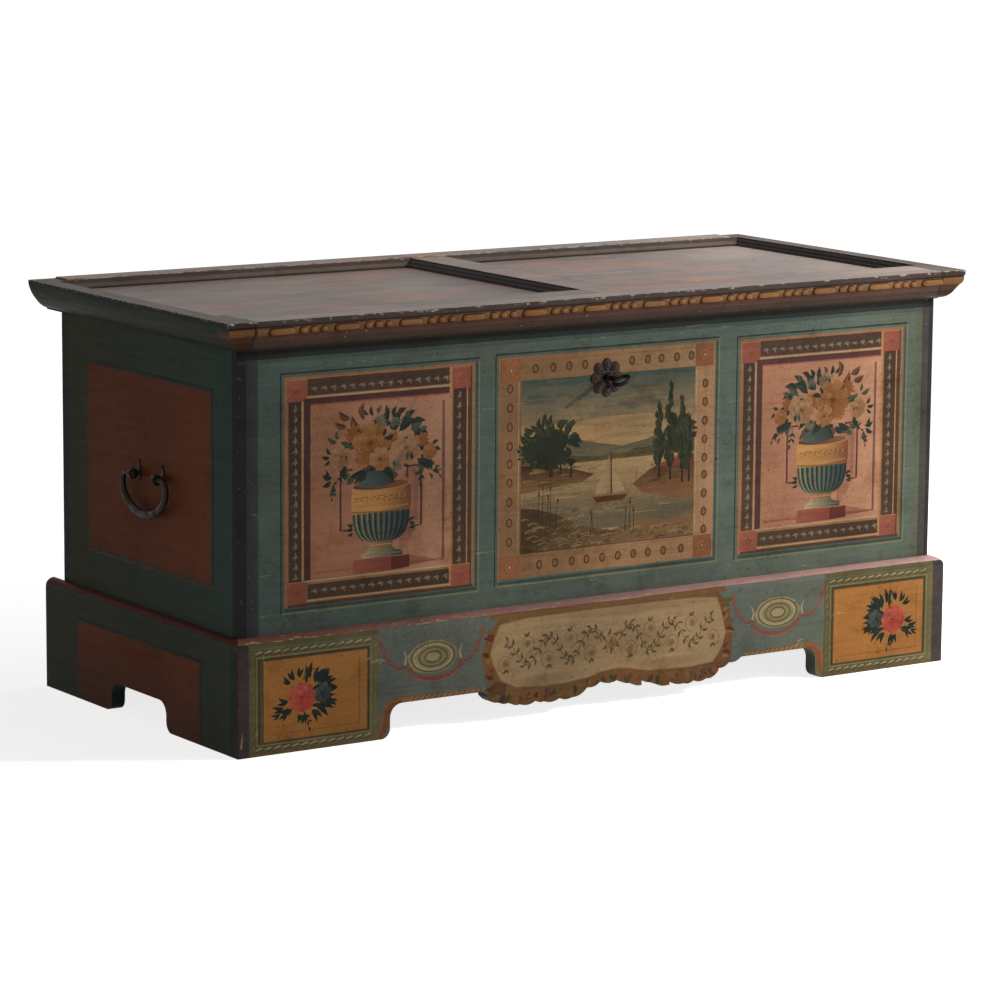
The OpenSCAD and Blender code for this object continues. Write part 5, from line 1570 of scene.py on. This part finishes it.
def foot_panel(art, x0, x1, flip):
    """A yellow panel with a rose in an olive border."""
    art.box(x0, 0, x1, BASE_EDGE - 1, OLIVE, end=(0.145, 0.125, 0.058), along=((x0, 0), (x1, 0)))
    art.line((x0, 3), (x1, 3), 2.4, OCHRE_DARK, cover=0.6)
    art.box(x0 + 15, 17, x1 - 15, 140, OLIVE_DARK)
    art.box(x0 + 18, 18.5, x1 - 18, 137.5, (0.100, 0.074, 0.040))
    px0, px1, pz0, pz1 = x0 + 24, x1 - 19, 19.5, 135.5
    if flip < 0:
        px0, px1 = x0 + 20, x1 - 20
    art.box(px0, pz0, px1, pz1, YELLOW, end=(0.34, 0.145, 0.042), along=((0, pz1), (0, pz0)), shift=0.01)
    art.rules((px0, pz1 - 1, px1, pz1 - 1, 2.0, ORANGE, 0.6), (px0 + 1, pz0, px0 + 1, pz1, 2.0, ORANGE, 0.6))
    for x in (x0 + 6, x1 - 5):
        for i in range(10):
            z = 8 + 14.2 * i
            art.stroke([(x - 1.5, z), (x, z + 4), (x + 1.5, z + 9)], 2.6, OLIVE_LIGHT, taper=(0.5, 0.8),
                       cover=0.55)
    for z in (149, 10):
        count = int((x1 - x0 - 14) / 15)
        for i in range(count):
            x = x0 + 10 + 15 * i
            art.stroke([(x, z - 1.5), (x + 4.5, z), (x + 11, z + 1.5)], 2.8, WHITE, taper=(0.4, 0.9),
                       cover=0.6)
            art.stroke([(x + 1, z - 4.5), (x + 6, z - 3.4), (x + 12, z - 2)], 1.4, OLIVE_DARK,
                       taper=(0.6, 0.9), cover=0.8)
    for z in (142, 15):
        art.line((x0 + 12, z), (x1 - 12, z), 1.2, CREAM, cover=0.5)
    for x in (x0 + 12.5, x1 - 12.5):
        art.line((x, 15), (x, 142), 1.0, CREAM, cover=0.4)
    art.wash(24, (px0 + 6, px1 - 40), (pz0 + 5, pz1 - 5), (14, 40), (2, 5), (ORANGE, OCHRE, OCHRE_DARK), 0.16,
             tone_last=True)
    art.rules(
        (px1 - 13, pz0 + 8, px1 - 13, pz1 - 10, 1.8, OCHRE_DARK, 0.7),
        (px0 + 10, pz0 + 9.5, px1 - 12, pz0 + 9.5, 1.6, OCHRE_DARK, 0.7))
    rose_spray(art, (px0 + px1) / 2 - flip * 23 + (6 if flip < 0 else 0), 78, flip)


SPRAY_LEAVES = [(-12, 26, 118, 22), (-4, 28, 75, 20), (-18, 22, 150, 18), (-22, -4, 172, 20),
                (-20, -14, 205, 24), (-26, -18, 232, 18), (-30, -12, 185, 20), (-36, -20, 200, 16),
                (22, 18, 62, 30), (26, 12, 40, 34), (24, 2, 18, 34), (26, -8, -4, 34), (22, -14, -28, 32),
                (16, -20, -52, 26), (30, 4, 70, 26), (36, -4, -40, 24), (34, 10, 10, 28), (44, -12, -12, 20),
                (14, 26, 95, 26), (46, 2, 35, 18), (4, -24, -100, 20), (-6, -24, -80, 18), (-2, -26, -60, 16),
                (40, 18, 85, 20)]


def rose_spray(art, x, z, flip):
    """A red rose and a small grey bloom among dark leaves."""
    art.sprig(x + flip * 2, z - 20, facing(-70, flip), 26, LEAF, pairs=2, size=0.3)
    art.stroke([(x + flip * 2, z + 24), (x + flip * 8, z + 42), (x + flip * 24, z + 38),
                (x + flip * 30, z + 24)], 1.2, LEAF)
    for u, v, turn, length in SPRAY_LEAVES:
        for fan in (-14, 14):
            a = facing(turn + fan, flip)
            art.leaf(x + flip * u, z + v, a, length * art.vary(0.75, 1.05), length * 0.25, LEAF,
                     LEAF_LIGHT if fan > 0 and length > 21 else None, bend=0.1 * flip)
    art.flower(x + flip * 33, z + 3, 16, (0.036, 0.043, 0.038), (0.090, 0.100, 0.088), LEAF)
    art.oval(x, z, 22, 21, (0.33, 0.048, 0.034), count=20, shake=0.05)
    art.flower(x, z, 23, (0.385, 0.056, 0.038), (0.450, 0.112, 0.076), (0.255, 0.030, 0.022))
    for u, v, turn, length in ((16, -14, -15, 18), (17, 8, 20, 16), (-16, -14, 215, 18), (8, 19, 80, 18)):
        a = facing(turn, flip)
        art.leaf(x + flip * u, z + v, a, length, length * 0.32, LEAF, LEAF_LIGHT, bend=0.12 * flip)


CARTOUCHE = [(-198, 147), (-150, 152), (-60, 153), (60, 153), (150, 152), (196, 148), (203, 132), (209, 112),
             (214, 90), (205, 66), (190, 48), (150, 45), (108, 47), (70, 48), (38, 55), (15, 58), (-15, 56),
             (-40, 50), (-80, 46), (-120, 46), (-170, 50), (-196, 62), (-208, 84), (-216, 104), (-209, 124)]


def cartouche(art):
    """A cream field in a shell-work rim, with two thin sprays of leaves."""
    rim = []
    for i, (u, v) in enumerate(CARTOUCHE):
        grow = 1.066 + 0.012 * math.sin(i * 2.3) - (0.055 if v > 140 else 0.0)
        rim.append((u * grow, 100 + (v - 100) * (1.17 if v > 100 else 1.75)))
    art.fill(rim, (0.178, 0.096, 0.036), end=(0.165, 0.078, 0.034), along=((-200, 0), (200, 0)))
    art.fill([(-226, 20), (-190, 20), (-186, 60), (-206, 62), (-219, 52)], (0.120, 0.062, 0.032))
    for i in range(64):
        u = -214 + 428 * i / 63
        low = 34 if abs(u) > 60 else 44
        tone = art.pick((OCHRE_DARK, (0.145, 0.046, 0.032), BROWN, (0.185, 0.100, 0.042), OLIVE_DARK))
        art.leaf(u, low + art.vary(2, 9), math.radians(-90 + art.vary(-75, 75) + (25 if u > 0 else -25)),
                 art.vary(14, 24), art.vary(6, 10), tone, art.pick((None, TAN)))
    for side in (-1, 1):
        for i in range(16):
            z = 50 + 6.0 * i
            tone = art.pick((OCHRE_DARK, BRICK_DARK, (0.250, 0.140, 0.056), OLIVE, (0.20, 0.078, 0.040)))
            art.leaf(side * (212 - abs(z - 100) * 0.12), z, math.radians(90 - side * (60 + 50 * math.sin(i))),
                     art.vary(12, 22), art.vary(5, 8), tone)
    for i in range(40):
        u = -196 + 392 * i / 39
        tone = art.pick((OCHRE_DARK, (0.20, 0.080, 0.042), (0.250, 0.140, 0.056), OLIVE))
        art.leaf(u, 152.5, math.radians(art.vary(-22, 22) + (180 if i % 2 else 0)), art.vary(12, 20), 5.0,
                 tone)
    art.fill(CARTOUCHE, (0.360, 0.245, 0.128), end=(0.345, 0.240, 0.128), along=((-200, 60), (200, 140)),
             shift=0)
    for i in range(len(CARTOUCHE)):
        p, q = CARTOUCHE[i], CARTOUCHE[(i + 1) % len(CARTOUCHE)]
        art.line(p, q, 2.6, (0.20, 0.105, 0.046), cover=0.6)
    for u, v, rx, rz in ((-120, 56, 60, 10), (110, 58, 70, 9), (40, 146, 150, 7), (60, 92, 70, 36),
                         (-70, 104, 60, 30)):
        for grow in (1.0, 0.8, 0.6):
            art.oval(u, v, rx * grow, rz * grow, (0.170, 0.112, 0.056), count=22, cover=0.14)
    art.wash(150, (-190, 150), (62, 146), (16, 52), (2, 6),
             (CREAM, (0.235, 0.165, 0.084), (0.30, 0.195, 0.095), (0.275, 0.215, 0.120)), 0.22, thin=0.25)
    thin = (0.100, 0.066, 0.036)
    faded = (0.235, 0.105, 0.056)
    for side in (-1, 1):
        vine(art, side * 16, 101, side, 172, 23, thin, faded)
    for turn in (35, 145, 215, 325, 90, 270):
        art.leaf(0, 101, math.radians(turn), 21, 7.5, thin, OLIVE_LIGHT)
    art.flower(0, 101, 12, faded, (0.37, 0.215, 0.115), thin, petals=7)


def vine(art, x, z, side, reach, swing, thin, faded):
    """A waving stem with leaves, and a curl with a small bloom in each of its hollows."""
    steps = 44
    waves = 2.25
    path = []
    for i in range(steps + 1):
        t = i / steps
        path.append((x + side * reach * t, z + swing * math.sin(2 * math.pi * waves * t) * (1 - 0.2 * t)))
    art.stroke(path, 1.8, thin, taper=(1.3, 0.5), cover=0.8)
    for i in range(1, steps, 2):
        a = math.atan2(path[i + 1][1] - path[i][1], path[i + 1][0] - path[i][0])
        for s in (-1, 1):
            art.leaf(path[i][0], path[i][1], a + s * art.vary(0.6, 0.95), art.vary(9, 13),
                     art.vary(3.4, 4.6), thin, OLIVE_LIGHT if s > 0 else None, bend=0.15 * s)
    for k in range(5):
        t = (0.25 + 0.5 * k) / waves
        up = 1 if k % 2 == 0 else -1
        cx = x + side * reach * t
        cz = z - up * (swing * 0.35 + 5)
        curl = []
        for j in range(16):
            q = j / 15
            a = math.pi * (0.5 + up * 1.0) + side * up * 2.4 * math.pi * q
            r = 15 * (1 - 0.72 * q)
            curl.append((cx + r * math.cos(a), cz + r * math.sin(a)))
        art.stroke(curl, 1.2, thin, taper=(1.2, 0.5), cover=0.7)
        art.flower(cx, cz, 6.2, faded, (0.36, 0.205, 0.110), thin, petals=6)
        art.leaf(cx, cz + up * -9, math.radians(-90 * up + 30), 9, 3.6, thin)
        art.leaf(cx, cz + up * -9, math.radians(-90 * up - 30), 9, 3.6, thin)


def paint_base_front():
    """The base's front: a cartouche, two medallions and two panels with roses."""
    art = Painting(23)
    art.box(-BASE_END_X, 0, BASE_END_X, BASE_EDGE, (0.132, 0.148, 0.126), shake=0, end=(0.124, 0.146, 0.124),
            along=((-400, 0), (400, 0)))
    art.wash(150, (-405, 330), (40, 150), (24, 75), (2, 6), (TEAL_LIGHT, TEAL_DARK, (0.10, 0.115, 0.088)),
             0.16)
    swag(art, -314, 1)
    swag(art, 312, -1)
    cartouche(art)
    rope_edge(art, -232, -366, 50, 3)
    rope_edge(art, 250, 372, 50, 3)
    for side in (-1, 1):
        art.stroke([(side * 366, 55), (side * 385, 50), (side * 394, 38), (side * 396, 20), (side * 404, 6),
                    (side * 412, -2)], 13, OCHRE_DARK)
        art.stroke([(side * 366, 57), (side * 388, 53), (side * 399, 40), (side * 401, 20), (side * 409, 6)],
                   4.5, (0.27, 0.115, 0.058), cover=0.8)
    foot_panel(art, -621, -407, 1)
    foot_panel(art, 402, 618, -1)
    art.box(-BASE_END_X, 0, -621, BASE_EDGE, (0.052, 0.046, 0.050), shake=0)
    art.box(-BASE_END_X, 0, -633, BASE_EDGE, (0.080, 0.034, 0.028), shake=0, cover=0.8)
    art.box(618, 0, BASE_END_X, BASE_EDGE, (0.072, 0.058, 0.056), shake=0)
    art.scratches(((-428, 120, 12, 2), (-420, 116, 16, -2), (-412, 118, 18, -4), (-406, 112, 8, 3),
                   (-598, 146, 2, -16), (352, 62, 12, 3), (345, 55, 14, 5), (428, 98, 18, -1),
                   (-610, 30, 3, 9), (-634, 14, 2, 22)), 3.2, 1, cover=0.5, shake=0.4)
    return art.mesh("base_front_painting", on_front(BASE_FRONT_Y),
                    face_outline("base_front", 1, BASE_FRONT_Y))


def paint_end(name, place, mirror):
    """An end of the box: dark green with a red-brown panel; u runs to the right as seen."""
    art = Painting(31 + mirror)
    u0, u1 = (-BACK_Y, -FRONT_Y) if mirror < 0 else (FRONT_Y, BACK_Y)
    z0, z1 = BASE_TOP - 1.5, BOX_TOP
    front = u1 if mirror < 0 else u0
    back = u0 if mirror < 0 else u1
    art.box(u0, z0, u1, z1, GREEN, shake=0, end=GREEN_DEEP, along=((front, 0), (back, 0)), shift=0)
    art.wash(110, (u0 + 6, u1 - 90), (z0 + 4, z1 - 4), (30, 80), (3, 8),
             (TEAL, (0.030, 0.044, 0.036), (0.06, 0.064, 0.036), (0.040, 0.066, 0.060)), 0.15)
    inward = -1 if front > back else 1
    for edge, width in ((front, inward * 14), (back, -inward * 17)):
        near, far = sorted((edge, edge + width))
        art.box(near, z0, far, z1, NIGHT, shake=0)
    p0, p1, q0, q1 = (-185, 177, 233, 508) if mirror < 0 else (-177, 185, 233, 508)
    art.rules(
        (p0 - 4, q1 + 5, p1 + 8, q1 + 5, 4.6, NIGHT, 0.9),
        (p1 + 6, q0 - 2, p1 + 6, q1 + 6, 4.2, NIGHT, 0.9),
        (p0 - 4, q0 - 5, p1 + 6, q0 - 5, 3.4, (0.185, 0.115, 0.048), 0.9),
        (p0 - 3, q0 - 6, p0 - 3, q1, 2.4, (0.120, 0.090, 0.040), 0.8))
    art.box(p0, q0, p1, q1, PANEL_RED, end=(0.235, 0.068, 0.026), along=((p1, 0), (p0, 0)), shift=0.01)
    art.wash(90, (p0 + 4, p1 - 90), (q0 + 4, q1 - 4), (30, 86), (3, 8),
             ((0.225, 0.080, 0.046), (0.145, 0.046, 0.028), (0.19, 0.066, 0.034)), 0.22)
    art.scratches(((-205, 540, 8, 1), (30, 200, 6, -40), (-60, 512, 26, -1), (180, 262, 9, -28),
                   (140, 300, 6, 14)), 0.9, 0, cover=0.3)
    outline = loop_segments([(u0, z0), (u1, z0), (u1, z1), (u0, z1)])
    return art.mesh(name, place, outline)


def paint_base_end(name, node, value, place, flip):
    """An end of the base: dark green with a red-brown panel down to its lower edge."""
    art = Painting(41 + flip)
    lo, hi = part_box(node)
    u0, u1 = sorted((flip * lo[1] / MM, flip * hi[1] / MM))
    front = BASE_FRONT_Y * flip
    inward = -1 if flip < 0 else 1
    art.box(u0, 0, u1, BASE_EDGE, (0.052, 0.066, 0.046), shake=0, end=(0.046, 0.050, 0.028),
            along=((front, 0), (-front, 0)))
    near, far = sorted((front, front + inward * 22))
    art.box(near, 0, far, BASE_EDGE, NIGHT, shake=0, cover=0.75)
    q1 = 119
    p0, p1 = (-198, 165) if flip < 0 else (-165, 198)
    art.rules(
        (p0 - 2, q1 + 4, p1 + 6, q1 + 4, 4.4, NIGHT, 0.9),
        (p1 + 5, 0, p1 + 5, q1 + 4, 4.0, NIGHT, 0.85),
        (p0 - 3, 0, p0 - 3, q1, 2.4, (0.120, 0.090, 0.040), 0.8))
    art.box(p0, -2, p1, q1, PANEL_RED, end=(0.155, 0.062, 0.038), along=((0, q1), (0, 0)))
    art.wash(80, (u0 + 6, u1 - 70), (2, 148), (20, 60), (2, 6),
             ((0.12, 0.052, 0.034), (0.060, 0.052, 0.034), (0.095, 0.060, 0.036)), 0.2)
    for _ in range(60):
        u = art.pick((art.vary(u0, u0 + 12), art.vary(u1 - 12, u1), art.vary(u0, u1)))
        z = art.vary(0, 30)
        art.chip(u, z, (1, 4), (0.6, 1.6), 0.35)
    return art.mesh(name, place, face_outline(node, 0, value, flip))


front_sheet = painted_sheet("front_painting_paint", GRAIN_X, 0.55)
base_sheet = painted_sheet("base_painting_paint", GRAIN_X, 0.75)
end_sheet = painted_sheet("end_painting_paint", GRAIN_Y, 0.5, cracks=0.4)
for piece, sheet, slot in (
        (paint_front(), front_sheet, "front_paint"),
        (paint_base_front(), base_sheet, "base_front_paint"),
        (paint_end("left_end_painting", on_left(END_X), -1), end_sheet, "end_paint"),
        (paint_end("right_end_painting", on_right(END_X), 1), end_sheet, "end_paint"),
        (paint_base_end("base_left_painting", "base_left", -BASE_END_X, on_left(BASE_END_X), -1), end_sheet,
         "base_side_paint"),
        (paint_base_end("base_right_painting", "base_right", BASE_END_X, on_right(BASE_END_X), 1), end_sheet,
         "base_side_paint")):
    piece.data.materials.append(sheet)
    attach(piece, "chest")


# The stage: a white floor, soft light from the right, and the photograph's point of view

CAMERA_AT = (-3.54163, -5.29218, 1.36880)
CAMERA_YAW = 0.6145
CAMERA_PITCH = -0.1734
CAMERA_ROLL = 0.0122
PICTURE = (994, 995)
FOCAL_PIXELS = 4209.6
CENTRE_PIXELS = (611.27, 513.84)
SENSOR = 36.0


def make_camera():
    """The camera, as solved from corners of the chest in the photograph."""
    data = bpy.data.cameras.new("view")
    data.sensor_fit = "HORIZONTAL"
    data.sensor_width = SENSOR
    data.lens = FOCAL_PIXELS * SENSOR / PICTURE[0]
    data.shift_x = (PICTURE[0] / 2 - CENTRE_PIXELS[0]) / PICTURE[0]
    data.shift_y = (CENTRE_PIXELS[1] - PICTURE[1] / 2) / PICTURE[0]
    forward = Vector((math.sin(CAMERA_YAW) * math.cos(CAMERA_PITCH),
                      math.cos(CAMERA_YAW) * math.cos(CAMERA_PITCH), math.sin(CAMERA_PITCH)))
    right = Vector((math.cos(CAMERA_YAW), -math.sin(CAMERA_YAW), 0))
    up = right.cross(forward)
    side = right * math.cos(CAMERA_ROLL) + up * math.sin(CAMERA_ROLL)
    top = up * math.cos(CAMERA_ROLL) - right * math.sin(CAMERA_ROLL)
    turn = Matrix((side, top, -forward)).transposed().to_4x4()
    cam = add_object("view", data)
    cam.matrix_world = Matrix.Translation(CAMERA_AT) @ turn
    bpy.context.scene.camera = cam


# Lamps: a name, the direction and distance from the target, the size, the watts, the colour, the target
MIDDLE = (0.0, 0.0, 0.35)
ROSETTE = (0.004, -0.2515, 0.494)
LAMPS = [
    ("key", (0.66, -0.70, 0.22), 2.2, 1.3, 12.5, (1.0, 0.985, 0.95), MIDDLE),
    ("spark", (0.69, -0.54, 0.375), 3.0, 0.08, 48, (1.0, 0.98, 0.95), ROSETTE),
    ("top", (1.5, 0.05, 0.78), 2.0, 1.0, 21, (1, 1, 1), MIDDLE),
]


def area_light(name, direction, distance, size, watts, colour, target):
    data = bpy.data.lights.new(name, "AREA")
    data.shape = "SQUARE"
    data.size = size
    data.energy = watts
    data.color = colour
    lamp = add_object(name, data)
    away = Vector(direction).normalized()
    lamp.location = Vector(target) + away * distance
    lamp.rotation_mode = "QUATERNION"
    lamp.rotation_quaternion = away.to_track_quat("Z", "Y")


def seen_share(g):
    """1 on the rays that show white: those of the camera, and mirrored and transmitted ones."""
    seen = g.put("ShaderNodeLightPath").outputs
    return g.most(g.most(seen["Is Camera Ray"], seen["Is Glossy Ray"]), seen["Is Transmission Ray"])


FLOOR_HALF = 14.0


def make_floor():
    """A white floor that still takes a faint shadow."""
    data = bpy.data.meshes.new("floor")
    w = FLOOR_HALF
    data.from_pydata([(-w, -w, 0), (w, -w, 0), (w, w, 0), (-w, w, 0)], [], [(0, 1, 2, 3)])
    floor = add_object("floor", data)
    mat = bpy.data.materials.new("floor_white")
    g, out = cleared(mat, "ShaderNodeOutputMaterial")
    matte = g.put("ShaderNodeBsdfDiffuse", {"Color": (0.80, 0.80, 0.80, 1)})
    away = g.vector("LENGTH", g.put("ShaderNodeTexCoord").outputs["Object"])
    glow = g.put("ShaderNodeEmission", {"Color": (1, 1, 1, 1),
                                        "Strength": g.remap(away, 0.9, 2.4, 0.80, 1.0)})
    both = g.put("ShaderNodeAddShader", {0: matte.outputs[0], 1: glow.outputs[0]})
    share = seen_share(g)
    mix = g.put("ShaderNodeMixShader", {0: share, 1: matte.outputs[0], 2: both.outputs[0]})
    g.result(out, Surface=mix.outputs[0])
    data.materials.append(mat)


def make_world():
    """A white background, and a soft light from all round."""
    world = bpy.data.worlds.new("studio")
    bpy.context.scene.world = world
    g, out = cleared(world, "ShaderNodeOutputWorld")
    share = seen_share(g)
    soft = g.put("ShaderNodeBackground", {"Color": (0.95, 0.97, 1.0, 1), "Strength": 0.09})
    white = g.put("ShaderNodeBackground", {"Color": (1, 1, 1, 1), "Strength": 1.0})
    mix = g.put("ShaderNodeMixShader", {0: share, 1: soft.outputs[0], 2: white.outputs[0]})
    g.result(out, Surface=mix.outputs[0])


make_camera()
make_floor()
make_world()
for lamp in LAMPS:
    area_light(*lamp)
bpy.context.scene.view_settings.view_transform = "Standard"
